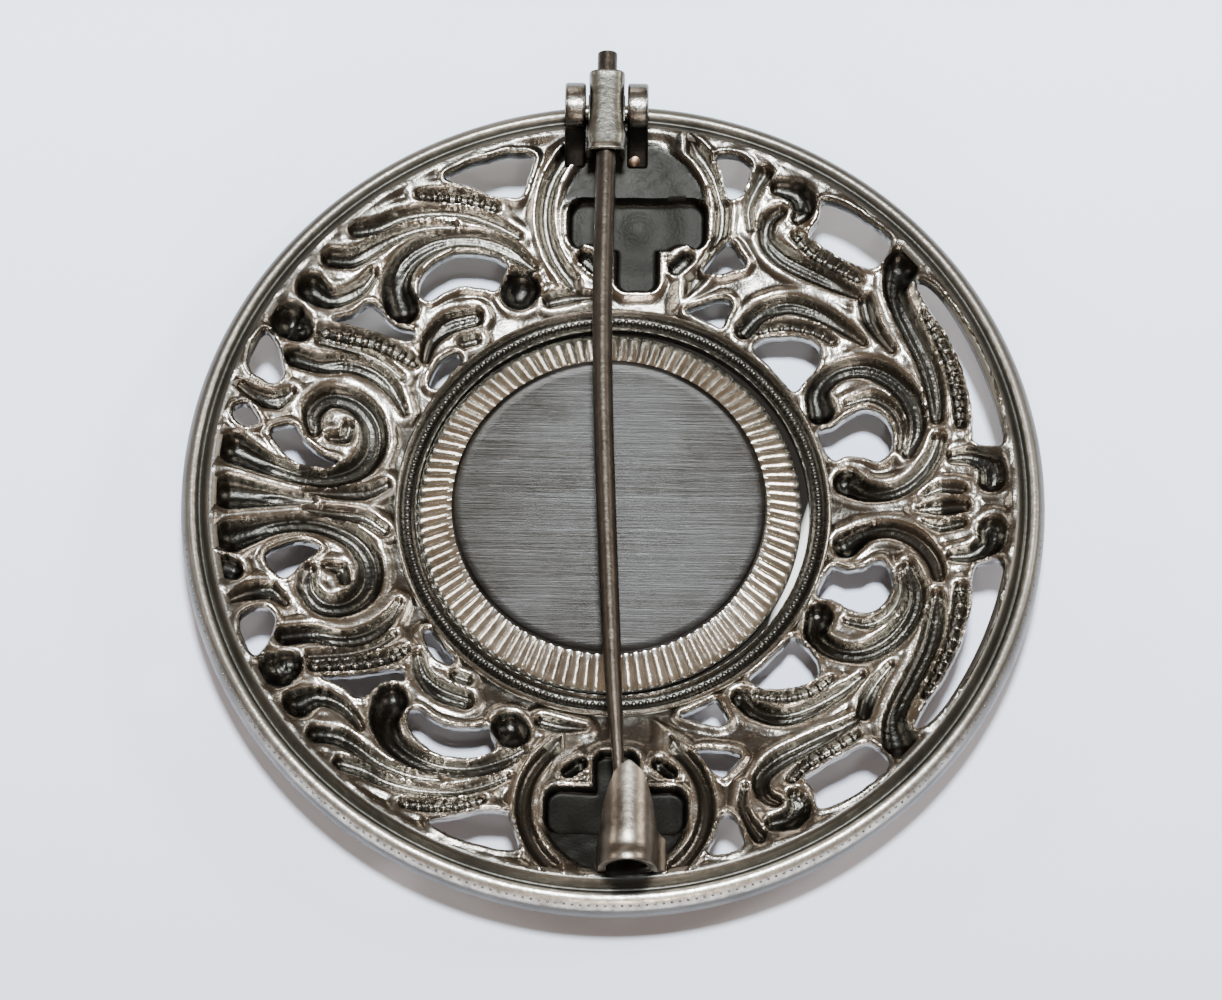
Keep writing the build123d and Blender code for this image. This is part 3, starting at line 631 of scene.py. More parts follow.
def medallionField(px, py, side):
    # signed distances to the cross recess, the crescent grooves and the eyes of one medallion,
    # then distances from the cross's middle and from the grooves' middle
    m, places = medallion, medallionPlaces[side]
    outX, outY = px - places["groove"][0], side * py - places["groove"][1]
    away = np.hypot(outX, outY)
    groove = np.abs(away - m["grooveRadius"]) - m["grooveHalf"]
    groove = np.maximum(groove, (m["grooveGap"] - np.abs(outX)) * m["grooveTaper"])
    outX, outY = px - places["cross"][0], side * py - places["cross"][1]
    cross = np.minimum(roundBox(outX, outY, *m["lobes"]), roundBox(outX, outY + m["armOut"], *m["arm"]))
    eyes = np.full(len(px), farAway)
    for eyeX, lean in zip(places["eyesX"], (-1, 1)):
        turn = math.radians(lean * m["eyeTurn"])
        c, s = math.cos(turn), math.sin(turn)
        dx, dy = px - eyeX, side * py - places["eyesY"]
        u, v = dx * c + dy * s, dy * c - dx * s
        u = np.maximum(np.abs(u) - (m["eyeLong"] - m["eyeShort"]), 0)
        eyes = np.minimum(eyes, np.hypot(u, v) - m["eyeShort"])
        # the cross bends round the ring of each eye
        cross = np.maximum(cross, m["eyeRing"] - np.hypot(dx, dy))
    return cross, groove, eyes, np.hypot(outX, outY), away


def nearestEdge(px, py):
    # signed distance to the nearest hollow's edge, for placing points along it
    best = np.full(len(px), farAway)
    for line in strokeLines:
        best = np.minimum(best, strokeField(px, py, line)[1])
    for side in both:
        best = np.minimum(best, np.minimum.reduce(medallionField(px, py, side)[:3]))
    return best


def reliefOf(px, py, outlines):
    # depth of the hollows, darkness in them, ridges beside them, and how near the openings are
    r, m = relief, medallion
    cut, dark, ridge, calm, faded = np.zeros((5, len(px)))
    first, second = np.full((2, len(px)), farAway)
    for line in strokeLines:
        far, beyond, width, along = strokeField(px, py, line)
        q = unit(far / width)
        depth = r["baseDepth"] + r["depthPerWidth"] * width
        inside = (1 - q ** 2) ** 0.6 * (beyond < 0)
        slope = unit(1 - np.maximum(beyond, 0) / r["slope"]) ** 2
        rib = unit((width - r["ribWidth"]) / 0.12) * unit((along - r["ribFrom"]) / r["ribRun"])
        ribs = rib * (swell(q, *r["midRib"]) + swell(q, *r["sideRib"]))
        here = depth * ((1 - r["slopeShare"]) * inside + r["slopeShare"] * slope) - ribs * inside
        cut = np.maximum(cut, here)
        fade = 0.74 + swell(along, *r["fade"])
        dark = np.maximum(dark, inside ** 0.7 * np.clip((width - 0.05) / 0.55, 0.38, 1) * fade)
        closer = beyond < first
        second = np.where(closer, first, np.minimum(second, beyond))
        first = np.where(closer, beyond, first)
    for side in both:
        cross, groove, eyes, boss, away = medallionField(px, py, side)
        trough = unit(1 - (groove / m["grooveHalf"] + 1) ** 2) ** 0.6 * (groove < 0)
        cut = np.maximum(cut, m["grooveDepth"] * trough)
        dark = np.maximum(dark, 0.5 * trough)
        wall = unit(-cross / m["wall"]) ** 0.6
        floor = m["depth"] - swell(boss, *m["floorRing"]) - swell(boss, *m["floorMiddle"])
        cut = np.maximum(cut, floor * wall)
        dark = np.maximum(dark, 1.3 * wall)
        beyond = side * py - medallionPlaces[side]["cross"][1]
        outer = unit((beyond - m["outerFrom"]) / m["outerRun"])
        # the recess's outer edge is worn away, so it has no bright lip
        within = unit((m["around"] - away) / 0.4)
        faded = np.maximum(faded, outer * within)
        around = within * unit(cross / 0.3 - 0.4 + 2 * outer) * unit(eyes / 0.3 - 0.4)
        dark = np.maximum(dark, (0.4 + 0.86 * outer) * around)
        calm = np.maximum(calm, around)
        eyeWall = unit(-eyes / m["eyeWall"]) ** 0.6
        cut = np.maximum(cut, m["eyeDepth"] * eyeWall)
        dark = np.maximum(dark, 0.9 * eyeWall)
        ridge = np.maximum(ridge, swell(cross, *m["crossRidge"]) * (1 - outer))
        ridge = np.maximum(ridge, swell(eyes, *m["eyeRidge"]))
        ridge = np.maximum(ridge, swell(groove, *m["grooveRidge"]) * (np.abs(px) > 3))
        closer = np.minimum(np.minimum(cross, eyes), groove)
        second = np.where(closer < first, first, np.minimum(second, closer))
        first = np.minimum(first, closer)
    edge = edgeDistance(px, py, outlines, 0.7)
    kept = unit((edge - 0.08) / 0.22)
    lip = bell(first, 0.09, 0.1) * (first > -0.02) * (1 - calm) * (1 - faded)
    between = bell(second - first, 0, 0.2) * bell(first, 0, 0.5) * (first > 0) * (1 - calm)
    return SimpleNamespace(cut=cut * kept, dark=dark * kept, ridge=ridge, lip=lip, between=between, edge=edge,
                           first=first, calm=calm)


def spreadPoints(outlines, step, snap):
    # an even spread of points over the sheet, clear of the openings
    rim = sheet["outerRadius"]
    rows = np.arange(-rim, rim, step * 0.866)
    gx, gy = np.meshgrid(np.arange(-rim, rim, step), rows)
    gx = gx + np.where(np.arange(len(rows)) % 2, step / 2, 0)[:, None]
    px, py = gx.ravel(), gy.ravel()
    radius = np.hypot(px, py)
    keep = (radius > sheet["innerRadius"] + step * 0.5) & (radius < rim - step * 0.5)
    px, py = px[keep], py[keep]
    if snap:
        # points near a hollow's edge are moved onto it, so that the edge is clean
        edge = nearestEdge(px, py)
        index = np.nonzero(np.abs(edge) < 0.5 * step)[0]
        x, y, small = px[index], py[index], 0.01
        slopeX = (nearestEdge(x + small, y) - nearestEdge(x - small, y)) / (2 * small)
        slopeY = (nearestEdge(x, y + small) - nearestEdge(x, y - small)) / (2 * small)
        steep = np.maximum(slopeX ** 2 + slopeY ** 2, 0.25)
        px[index] = x - edge[index] * slopeX / steep
        py[index] = y - edge[index] * slopeY / steep
    keep = edgeDistance(px, py, outlines, 0.6) > 0.5 * step
    for outline in outlines:
        keep &= ~insideOutline(px, py, outline)
    spread = np.column_stack([px[keep], py[keep]])
    # of points that have come very close to each other, one is left
    return spread[np.unique(np.round(spread / (0.3 * step)).astype(int), axis=0, return_index=True)[1]]


def sheetTriangles(outlines, step, snap):
    # outline points first, then the spread of points between them
    loops = list(outlines)
    for radius in (sheet["innerRadius"], sheet["outerRadius"]):
        count = int(2 * math.pi * radius / max(step, sheet["outlineStep"]))
        turn = np.arange(count) * 2 * math.pi / count
        loops.append(np.column_stack([radius * np.cos(turn), radius * np.sin(turn)]))
    points = np.vstack(loops + [spreadPoints(outlines, step, snap)])
    edges, starts, start = [], [], 0
    for loop in loops:
        edges += [(start + k, start + (k + 1) % len(loop)) for k in range(len(loop))]
        starts.append(start)
        start += len(loop)
    found = geometry.delaunay_2d_cdt([Vector(p) for p in points.tolist()], edges, [], 0, 1e-7)
    coords = np.array([tuple(v) for v in found[0]])
    faces = np.array([tuple(f) for f in found[2]], int)
    middle = coords[faces].mean(1)
    far = np.hypot(middle[:, 0], middle[:, 1])
    keep = (far > sheet["innerRadius"] - 0.01) & (far < sheet["outerRadius"])
    for outline in outlines:
        keep &= ~insideOutline(middle[:, 0], middle[:, 1], outline)
    faces = faces[keep]
    a, b, c = (coords[faces[:, k]] for k in range(3))
    turnsLeft = (b[:, 0] - a[:, 0]) * (c[:, 1] - a[:, 1]) - (b[:, 1] - a[:, 1]) * (c[:, 0] - a[:, 0]) > 0
    faces[~turnsLeft] = faces[~turnsLeft][:, ::-1]
    order = {old: new for new, originals in enumerate(found[3]) for old in originals}
    outlineIds = [[order[start + k] for k in range(len(outline))] for start, outline in zip(starts, outlines)]
    return coords, faces, outlineIds


def waves(px, py):
    # slow swells of the struck surface
    return (0.035 * np.sin(px * 1.9 + 1.3 * np.sin(py * 1.1))
            + 0.035 * np.sin(py * 2.3 + 0.9 * np.sin(px * 1.7))
            + 0.012 * np.sin(px * 4.7 + py * 3.1) + 0.012 * np.sin(py * 6.1 - px * 3.7))


paintedShadePlaces = [
    # painted shade, in the catch's mouth and under the hinge: middle x and y, half size in x and y, darkness
    (1.1, -20.8, 1.45, 1.0, 1.3),
    (-0.5, 19.9, 2.6, 1.5, 1.1),
]


def paintedShadeAt(px, py):
    return np.maximum.reduce([dark * np.exp(-(((px - x) / halfX) ** 2 + ((py - y) / halfY) ** 2) ** 2)
                              for x, y, halfX, halfY, dark in paintedShadePlaces])


# heights, wear and darkness of the land between the hollows; gaps are the openings
land = {
    "ridge": 0.12, "lip": 0.05, "between": 0.08, "gapRim": (0.08, 0.2, 0.13), "gapDrop": (0.2, 0, 0.09),
    "waves": 0.75, "sag": 0.2, "sagFrom": 0.22, "sagRun": 0.45, "calmSag": 0.6,
    "ridgeWear": 0.8, "lipWear": 0.4, "betweenWear": 0.45, "gapWear": (0.9, 0, 0.17),
    "rimFrom": 19.4, "rimRun": 0.8, "rimDull": 0.65, "rimShade": 0.24, "sagShade": 0.30,
}


def backSurface(px, py, outlines):
    # rise, darkness and wear of the side that lies up; the darkness is patina, with painted shade in places
    radius = np.hypot(px, py)
    found = reliefOf(px, py, outlines)
    cut, edge, calm = found.cut, found.edge, found.calm
    ridge, lip, between = found.ridge, found.lip, found.between
    swells = land["waves"] * waves(px, py) * unit(1 - cut * 4)
    # the land sags between the raised edges of hollows and openings
    away = unit((np.minimum(found.first, edge) - land["sagFrom"]) / land["sagRun"])
    sag = away * away * (3 - 2 * away) * unit((20.75 - radius) / 0.4) * (1 - calm) + land["calmSag"] * calm
    rise = (dishRise(radius) - cut + land["ridge"] * ridge + land["lip"] * lip + land["between"] * between
            + swell(edge, *land["gapRim"]) - swell(edge, *land["gapDrop"]) + swells - land["sag"] * sag)
    wearAndHighlight = np.maximum.reduce([land["ridgeWear"] * ridge, land["lipWear"] * lip, land["betweenWear"] * between,
                               swell(edge, *land["gapWear"])])
    # painted shade in the catch's mouth and under the hinge
    sootAndShade = paintedShadeAt(px, py)
    # duller beside the rim
    beside = unit((radius - land["rimFrom"]) / land["rimRun"])
    shade = np.maximum.reduce([found.dark, land["sagShade"] * sag, land["rimShade"] * beside, sootAndShade])
    wearAndHighlight = wearAndHighlight * (1 - land["rimDull"] * beside) * (1 - np.minimum(sootAndShade, 1))
    return rise, np.clip(shade, 0, 1.3), unit(wearAndHighlight)


def frontSurface(px, py, outlines):
    found = reliefOf(px, py, outlines)
    boss = 0.42 * unit(found.cut / 0.5)
    return dishRise(np.hypot(px, py)) - sheet["thickness"] - boss + 0.1 * bell(found.edge, 0, 0.1)


def wobble(outline):
    # the pierced edges were filed by hand
    count = len(outline)
    place = np.arange(count)
    turn = place * sheet["outlineStep"]
    x, y = outline[:, 0], outline[:, 1]
    shift = 0.022 * np.sin(x * 3.3 + y * 2.1) + 0.012 * np.sin(y * 7.7 - x * 5.9) + 0.008 * np.sin(turn * 9.1)
    along = np.roll(outline, -1, axis=0) - np.roll(outline, 1, axis=0)
    normal = np.column_stack([along[:, 1], -along[:, 0]]) / np.maximum(np.hypot(*along.T), 1e-6)[:, None]
    ends = np.minimum(1, 4 * np.minimum(place, count - place) / count)
    return outline + normal * (shift * ends)[:, None]


def setShade(piece, hollow, wearAndHighlight):
    # how dark and how bright each point is, for the oxidised silver: patina with painted shade, wear with a
    # painted highlight
    for name, values in (("hollow", hollow), ("wearAndHighlight", wearAndHighlight)):
        layer = piece.data.attributes.new(name, "FLOAT", "POINT")
        layer.data.foreach_set("value", np.asarray(values, np.float32))


def openworkSheet(outlines):
    backXy, backFaces, backLoops = sheetTriangles(outlines, sheet["backStep"], True)
    frontXy, frontFaces, frontLoops = sheetTriangles(outlines, sheet["frontStep"], False)
    backZ, hollow, wearAndHighlight = backSurface(*backXy.T, outlines)
    frontZ = frontSurface(*frontXy.T, outlines)
    count = len(backXy)
    verts = np.vstack([np.column_stack([backXy, backZ]), np.column_stack([frontXy, frontZ])])
    verts[:, 2] += middleHeight
    faces = backFaces.tolist() + (frontFaces[:, ::-1] + count).tolist()
    for above, below in zip(backLoops, frontLoops):
        # the wall of one opening
        ring = verts[above]
        area = np.sum(ring[:, 0] * np.roll(ring[:, 1], -1) - np.roll(ring[:, 0], -1) * ring[:, 1])
        for k in range(len(above)):
            n = (k + 1) % len(above)
            quad = [above[k], above[n], below[n] + count, below[k] + count]
            faces.append(quad if area > 0 else quad[::-1])
    piece = newPiece("openwork_sheet", verts, faces)
    frontCount = len(frontXy)
    setShade(piece, np.append(hollow, np.full(frontCount, 0.5)), np.append(wearAndHighlight, np.zeros(frontCount)))
    return smoothPiece(piece, 62)


gapOutlines = [wobble(smoothLine(mirrored(points, side), sheet["outlineStep"], closed=True))
               for sides, points in openings for side in sides]
openwork = openworkSheet(gapOutlines)
finishPiece(openwork, "frame", "oxidised_silver", silver, "scroll_frame")
print("openwork sheet made,", len(openwork.data.polygons), "faces")


# Rim and inner ring, turned

def turnPiece(name, profile, segments, closed=True):
    # one circle, extruded and scaled along the profile's radius and rise
    radius, rise = profile[0]
    piece = newShape(bpy.ops.mesh.primitive_circle_add, name, vertices=segments, radius=radius * mm,
                     location=(0, 0, at(rise) * mm))
    bpy.ops.object.mode_set(mode="EDIT")
    bpy.ops.mesh.select_all(action="SELECT")
    for nextRadius, nextRise in profile[1:]:
        bpy.ops.mesh.extrude_edges_move(TRANSFORM_OT_translate={"value": (0, 0, (nextRise - rise) * mm)})
        grow = nextRadius / radius
        bpy.ops.transform.resize(value=(grow, grow, 1), center_override=(0, 0, at(nextRise) * mm))
        radius, rise = nextRadius, nextRise
    bpy.ops.mesh.select_all(action="SELECT")
    bpy.ops.mesh.remove_doubles(threshold=1e-7)
    if not closed:
        # the hole left in the middle is drawn together
        bpy.ops.mesh.select_all(action="DESELECT")
        bpy.ops.mesh.select_mode(type="EDGE")
        bpy.ops.mesh.select_non_manifold()
        bpy.ops.mesh.merge(type="COLLAPSE")
    bpy.ops.object.mode_set(mode="OBJECT")
    cleanMesh(piece)
    return piece


def shadeTurned(piece, tones, paintedHighlightRadii):
    # tones: radius, patina and shade, wear and highlight; between the highlight radii the -Y side gets a
    # painted highlight
    radii, hollow, wearAndHighlight = zip(*tones)
    x, y = (cornersOf(piece) / mm).T[:2]
    radius = np.hypot(x, y)
    # the same painted shade, where the rim passes the catch and the hinge
    sootAndShade = paintedShadeAt(x, y)
    # painted highlight on the -Y side, the side towards the viewer
    paintedHighlight = unit((-y / radius - 0.5) / 0.3) * (radius > paintedHighlightRadii[0]) * (radius < paintedHighlightRadii[1])
    setShade(piece, np.maximum(np.interp(radius, radii, hollow) * (1 - 0.9 * paintedHighlight), sootAndShade),
             np.maximum(np.interp(radius, radii, wearAndHighlight), 0.9 * paintedHighlight) * (1 - np.minimum(sootAndShade, 1)))


def addTurned(name, sizes, material):
    piece = smoothPiece(turnPiece(name, sizes["profile"], sizes["segments"]), 50)
    shadeTurned(piece, sizes["tones"], sizes["paintedHighlightRadii"])
    finishPiece(piece, "frame", "oxidised_silver", material, "scroll_frame")


rimSizes = {
    "segments": 720,
    # between these radii the -Y side gets a painted highlight
    "paintedHighlightRadii": (21.7, 22.42),
    "profile": [(20.6, 1.4), (20.8, 1.56), (20.95, 1.59), (21.08, 1.53), (21.18, 1.42), (21.27, 1.28),
                (21.36, 1.16), (21.46, 1.09), (21.54, 1.1), (21.61, 1.17), (21.67, 1.28), (21.74, 1.36),
                (21.82, 1.4), (21.92, 1.41), (22.04, 1.38), (22.15, 1.31), (22.25, 1.2), (22.34, 1.05),
                (22.41, 0.85), (22.46, 0.6), (22.48, 0.3), (22.48, -0.28), (22.4, -0.38), (22.2, -0.38),
                (21.7, -0.2), (21.1, 0.4), (20.75, 0.78), (20.6, 0.75), (20.6, 1.4)],
    # radius, patina and shade, wear and highlight; the outer wall turns dark towards its foot, painted shade
    "tones": [(20.6, 0.36, 0.0), (21.0, 0.36, 0.0), (21.12, 0.4, 0.0), (21.25, 0.56, 0.0), (21.5, 0.64, 0.0),
              (21.62, 0.5, 0.0), (21.68, 0.24, 0.2), (21.76, 0.1, 0.4), (21.86, 0.2, 0.05), (22.1, 0.26, 0.0),
              (22.3, 0.28, 0.0), (22.42, 0.34, 0.0), (22.47, 0.5, 0.0), (22.5, 0.8, 0.0)],
}
addTurned("rim", rimSizes, rimSilver)

ringSizes = {
    "segments": 480,
    "paintedHighlightRadii": (0, 0),
    "profile": [(11.4, -0.75), (11.42, -0.56), (11.37, -0.44), (11.28, -0.4), (11.18, -0.46), (11.1, -0.62),
                (11.0, -0.74), (10.75, -0.8), (10.5, -0.76), (10.4, -0.66), (10.33, -0.6), (10.27, -0.64),
                (10.25, -0.8), (10.25, -1.3), (10.79, -1.3), (10.79, -2.45), (11.3, -2.45),
                (11.34, -2.3), (11.4, -1.4), (11.4, -0.75)],
    "tones": [(10.25, 0.6, 0.1), (10.36, 0.5, 0.2), (10.5, 0.76, 0.0), (11.05, 0.72, 0.0), (11.2, 0.4, 0.15),
              (11.28, 0.2, 0.6), (11.42, 0.3, 0.2)],
}
addTurned("inner_ring", ringSizes, silver)
print("rim and ring turned")


# Beads

def beadCopies(name, places):
    # one bead, copied to each place as x, y, height and radius
    pattern = newShape(bpy.ops.mesh.primitive_uv_sphere_add, name, segments=8, ring_count=5, radius=1)
    corners = cornersOf(pattern)
    copies = [corners * radius + (x, y, z) for x, y, z, radius in places]
    return smoothPiece(copiedPiece(name, pattern, copies), 80)


def alongLine(points, spacing):
    line = smoothLine(points, 0.1)
    steps = np.hypot(*np.diff(line[:, :2], axis=0).T)
    length = np.concatenate([[0], np.cumsum(steps)])
    wanted = np.linspace(0, length[-1], max(2, int(length[-1] / spacing) + 1))
    return np.interp(wanted, length, line[:, 0]), np.interp(wanted, length, line[:, 1])


ornamentBeads = []
for sides, spacing, radius, points in beadRows:
    for side in sides:
        x, y = alongLine(mirrored(points, side), spacing)
        rise = backSurface(x, y, gapOutlines)[0]
        ornamentBeads += [spot + (radius,) for spot in zip(x, y, at(rise) + radius * 0.1)]
finishPiece(beadCopies("ornament_beads", ornamentBeads), "frame", "oxidised_silver", metals["ear_silver"])

beadRings = [
    # name, beads, first degree, last degree, radius, rise, bead radius, material
    ("ring_beads", 190, 0, 360, 10.74, -0.82, 0.15, "ring_silver"),
    ("rim_beads", 156, 186, 356, 22.3, 1.08, 0.085, "sleeve_silver"),
]
for name, count, first, last, radius, rise, bead, material in beadRings:
    turns = np.radians(np.linspace(first, last, count, endpoint=False))
    spots = [(radius * math.cos(turn), radius * math.sin(turn), at(rise), bead) for turn in turns]
    finishPiece(beadCopies(name, spots), "frame", "oxidised_silver", metals[material])
print("beads copied")


# Setting cup

cup = {
    "offset": -0.19,
    "segments": 256,
    "profile": [(0.4, -0.10), (7.6, -0.10), (7.95, -0.09), (8.06, -0.04), (8.14, 0.03), (8.22, -0.01),
                (8.27, -0.16), (8.3, -0.3), (9.9, -1.12), (10.03, -1.2), (10.03, -1.3), (9.6, -1.3),
                (8.2, -0.5), (0.4, -0.46)],
    "flutes": 104,
    "band": ((8.2, -0.05), (8.32, -0.1), (8.6, -0.23), (9.1, -0.47), (9.65, -0.74), (9.93, -0.88),
             (10.03, -0.98), (10.0, -1.2)),
    "fluteSteps": 8,
    "fluteDepth": 0.085,
    "fluteMiddle": 0.6,
    "fadeInner": 8,
    "fadeOuter": 6,
}
cupBack = smoothPiece(turnPiece("cup_back", cup["profile"], cup["segments"], closed=False), 40)
cupBack.location.x = cup["offset"] * mm
finishPiece(cupBack, "frame", "brushed_silver", brushedDisc(), "setting_cup")


def milledBand():
    # one flute's strip, as wide as a step round the cup, copied all the way round
    step = 2 * math.pi / cup["flutes"]
    strip = newShape(bpy.ops.mesh.primitive_grid_add, "milled_band", x_subdivisions=cup["fluteSteps"],
                     y_subdivisions=len(cup["band"]) - 1, size=2)
    radii, rises = zip(*cup["band"])
    shares = np.linspace(0, 1, len(radii))
    for vertex in strip.data.vertices:
        share = (vertex.co.y + 1) / 2
        radius = np.interp(share, shares, radii)
        rise = np.interp(share, shares, rises)
        ends = min(1.0, cup["fadeInner"] * share, cup["fadeOuter"] * (1 - share))
        flute = abs(math.cos(vertex.co.x * math.pi / 2)) ** 0.7 - cup["fluteMiddle"]
        rise += cup["fluteDepth"] * ends * flute
        turn = -vertex.co.x * step / 2
        vertex.co = Vector((radius * math.cos(turn), radius * math.sin(turn), at(rise))) * mm
    x, y, z = (cornersOf(strip) / mm).T
    copies = []
    for k in range(cup["flutes"]):
        c, s = math.cos(k * step), math.sin(k * step)
        copies.append(np.column_stack([x * c - y * s, x * s + y * c, z]))
    piece = copiedPiece("milled_band", strip, copies)
    cleanMesh(piece, mergeWithin=2e-6)
    if piece.data.polygons[0].normal.z < 0:
        piece.data.flip_normals()
    piece.location.x = cup["offset"] * mm
    return smoothPiece(piece, 40)


finishPiece(milledBand(), "frame", "brushed_silver", metals["mill_silver"], "setting_cup")
print("cup made")


# Hinge ears, solder and sleeve

hinge = {
    "x": -0.66, "y": 21.3, "rivetRise": 2.58, "earRadius": 1.3, "earRise": 3.2, "earInner": 1.1,
    "earThick": 1.1, "earBevel": 0.16, "rootRise": 0.8, "slope": 1.2,
    # painted shade makes the ears black towards the foot; their tops are lighter, from wear and a painted
    # highlight
    "hollow": ([3.2, 4.2, 4.5], [1.15, 0.4, 0.2]), "wearAndHighlight": ([4.1, 4.5], [0, 0.2]),
}


def cutShape(name, outline, x, thickness, bevel):
    # a circle whose corners are moved to the outline in Y and Z, thickened and bevelled
    piece = newShape(bpy.ops.mesh.primitive_circle_add, name, vertices=len(outline), fill_type="NGON")
    for vertex, (y, z) in zip(piece.data.vertices, outline):
        vertex.co = Vector((x, y, z)) * mm
    addWall(piece, thickness, 0, bevel, 3, 50)
    return smoothPiece(piece, 40)


def arcPoints(y, z, radius, first, last, count):
    return [(y + radius * math.cos(a), z + radius * math.sin(a))
            for a in np.linspace(math.radians(first), math.radians(last), count)]


def earOutline():
    south, north = hinge["y"] - hinge["earRadius"], hinge["y"] + hinge["earRadius"]
    arc = arcPoints(hinge["y"], at(hinge["earRise"]), hinge["earRadius"], 0, 180, 25)
    return arc + [(south - 0.25, at(2.2)), (south - 0.6, at(1.55)), (south - hinge["slope"], at(1.15)),
                  (south - hinge["slope"], at(hinge["rootRise"])), (north, at(hinge["rootRise"]))]


ears = []
for side, name in ((-1, "left"), (1, "right")):
    centre = hinge["x"] + side * (hinge["earInner"] + hinge["earThick"] / 2)
    ears.append(cutShape("ear_" + name, earOutline(), centre, hinge["earThick"], hinge["earBevel"]))
earPair = joinPieces(ears, "hinge_ears")
earRises = cornersOf(earPair)[:, 2] / mm - middleHeight
# painted shade towards the foot, wear and a painted highlight on top
setShade(earPair, np.interp(earRises, *hinge["hollow"]), np.interp(earRises, *hinge["wearAndHighlight"]))
finishPiece(earPair, "frame", "oxidised_silver", silver, "scroll_frame")

solderBlob = {"x": 0.95, "y": 19.35, "rise": 1.25, "radius": 0.5, "scale": (0.8, 1.2, 0.45),
              "turn": (0.1, 0.2, -0.5)}
blobPlace = (solderBlob["x"] * mm, solderBlob["y"] * mm, at(solderBlob["rise"]) * mm)
blob = newShape(bpy.ops.mesh.primitive_uv_sphere_add, "solder_blob", segments=32, ring_count=16,
                radius=solderBlob["radius"] * mm, location=blobPlace)
blob.scale = solderBlob["scale"]
blob.rotation_euler = solderBlob["turn"]
smoothPiece(blob, 80)
finishPiece(blob, "frame", "oxidised_silver", metals["solder"])

sleeveSizes = {
    "north": 1.65, "length": 4.5, "wireRise": 3.72, "half": 0.93, "arch": 0.74, "archShare": 0.68,
    "skirt": 0.62, "wall": 0.2, "lugRadius": 0.75, "lugInset": 0.06, "lugRise": 3.2, "lugBevel": 0.04,
    # how much wider it bulges, where and over which share of its length
    "bulge": (0.11, 0.21, 0.12), "waist": (0.05, 0.62, 0.2),
    # the turned-up lips of its south and north ends
    "southLip": (0.13, 0, 0.035), "northLip": (0.03, 1, 0.05),
}


def bentStrip(name, across, along, place, thickness, bevel):
    # a flat grid whose points are bent to the strip's shape, then given its wall
    piece = newShape(bpy.ops.mesh.primitive_grid_add, name, x_subdivisions=across, y_subdivisions=along,
                     size=2)
    for vertex in piece.data.vertices:
        vertex.co = Vector(place(vertex.co.x, (vertex.co.y + 1) / 2)) * mm
    addWall(piece, thickness, -1, bevel, 2, 60)
    return smoothPiece(piece, 50)


def sleevePlace(u, v):
    # across: left skirt, over the wire, right skirt; along: from the south end to the north end
    size = sleeveSizes
    y = hinge["y"] + size["north"] - size["length"] * (1 - v)
    half = size["half"] + swell(v, *size["bulge"]) - swell(v, *size["waist"])
    lip = swell(v, *size["southLip"]) + swell(v, *size["northLip"])
    arc = size["archShare"]
    if abs(u) < arc:
        angle = abs(u) / arc * math.pi / 2
        x = half * math.sin(angle) ** 0.65
        z = (size["arch"] + lip) * math.cos(angle) ** 0.6
    else:
        drop = (abs(u) - arc) / (1 - arc)
        x = half + 0.02 * drop
        z = -size["skirt"] * drop
    return hinge["x"] + (1 if u >= 0 else -1) * (x + lip * 0.5), y, at(size["wireRise"]) + z


strip = bentStrip("pin_sleeve_strip", 48, 40, sleevePlace, sleeveSizes["wall"], 0.05)
lugRadius = sleeveSizes["lugRadius"]
lugOutline = arcPoints(hinge["y"], at(hinge["rivetRise"]), lugRadius, 180, 360, 17)
lugOutline += [(hinge["y"] + side * lugRadius, at(sleeveSizes["lugRise"])) for side in (1, -1)]
lugs = []
for side in (-1, 1):
    centre = hinge["x"] + side * (sleeveSizes["half"] - sleeveSizes["lugInset"])
    lugs.append(cutShape("lug", lugOutline, centre, sleeveSizes["wall"], sleeveSizes["lugBevel"]))
sleeve = joinPieces([strip] + lugs, "sleeve")
finishPiece(sleeve, "pin", "brushed_silver", metals["sleeve_silver"], "pin_sleeve")

cadLooks = {"hinge_rivet": metals["ear_silver"], "pin_stem": metals["wire_metal"], "plaque": creamPlaque()}
for node, material in cadLooks.items():
    setMaterial(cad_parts[node], material)
print("hinge made")


# Catch

catch = {
    "x": 1.05, "rise": 2.25, "radius": 1.5, "sheet": 0.4, "bevel": 0.08, "north": -15.35, "south": -20.65,
    "legStart": -18.7, "tongueStart": -18.45, "growRun": 0.45, "tongueDrop": 0.45, "lip": 0.45,
    "footRun": 0.5,
    # half the roof's width in degrees, from south to north
    "spread": ((-20.65, 90), (-19.1, 84), (-17.4, 57), (-15.9, 30), (-15.35, 4)),
    # the roof's raised end and the dent before it: height, place and width
    "raised": (0.07, -20.35, 0.3), "dent": (0.07, -19.7, 0.35), "roofRun": 1.4,
    # south of here the foot stands out by its full run; the foot follows the sheet over this length
    "flareStart": -19.7, "footLength": 1.2,
}


def catchPath():
    # outer face of the strip in the XZ plane: foot, left leg, roof, right flank, tongue
    left, right, rise = catch["x"] - catch["radius"], catch["x"] + catch["radius"], catch["rise"]
    foot = [(left - catch["footRun"], 0.95), (left - 0.25, 1.02), (left - 0.06, 1.25), (left, 1.7)]
    roof = arcPoints(catch["x"], rise, catch["radius"], 180, 0, 91)
    tongue = [(right + 0.12, rise - 0.22), (right + catch["lip"], rise - catch["tongueDrop"])]
    return np.array(foot + roof + tongue), len(foot) + len(roof) // 2


catchLine, roofIndex = catchPath()
catchRun = np.concatenate([[0], np.cumsum(np.hypot(*np.diff(catchLine, axis=0).T))])
roofMiddle = catchRun[roofIndex]


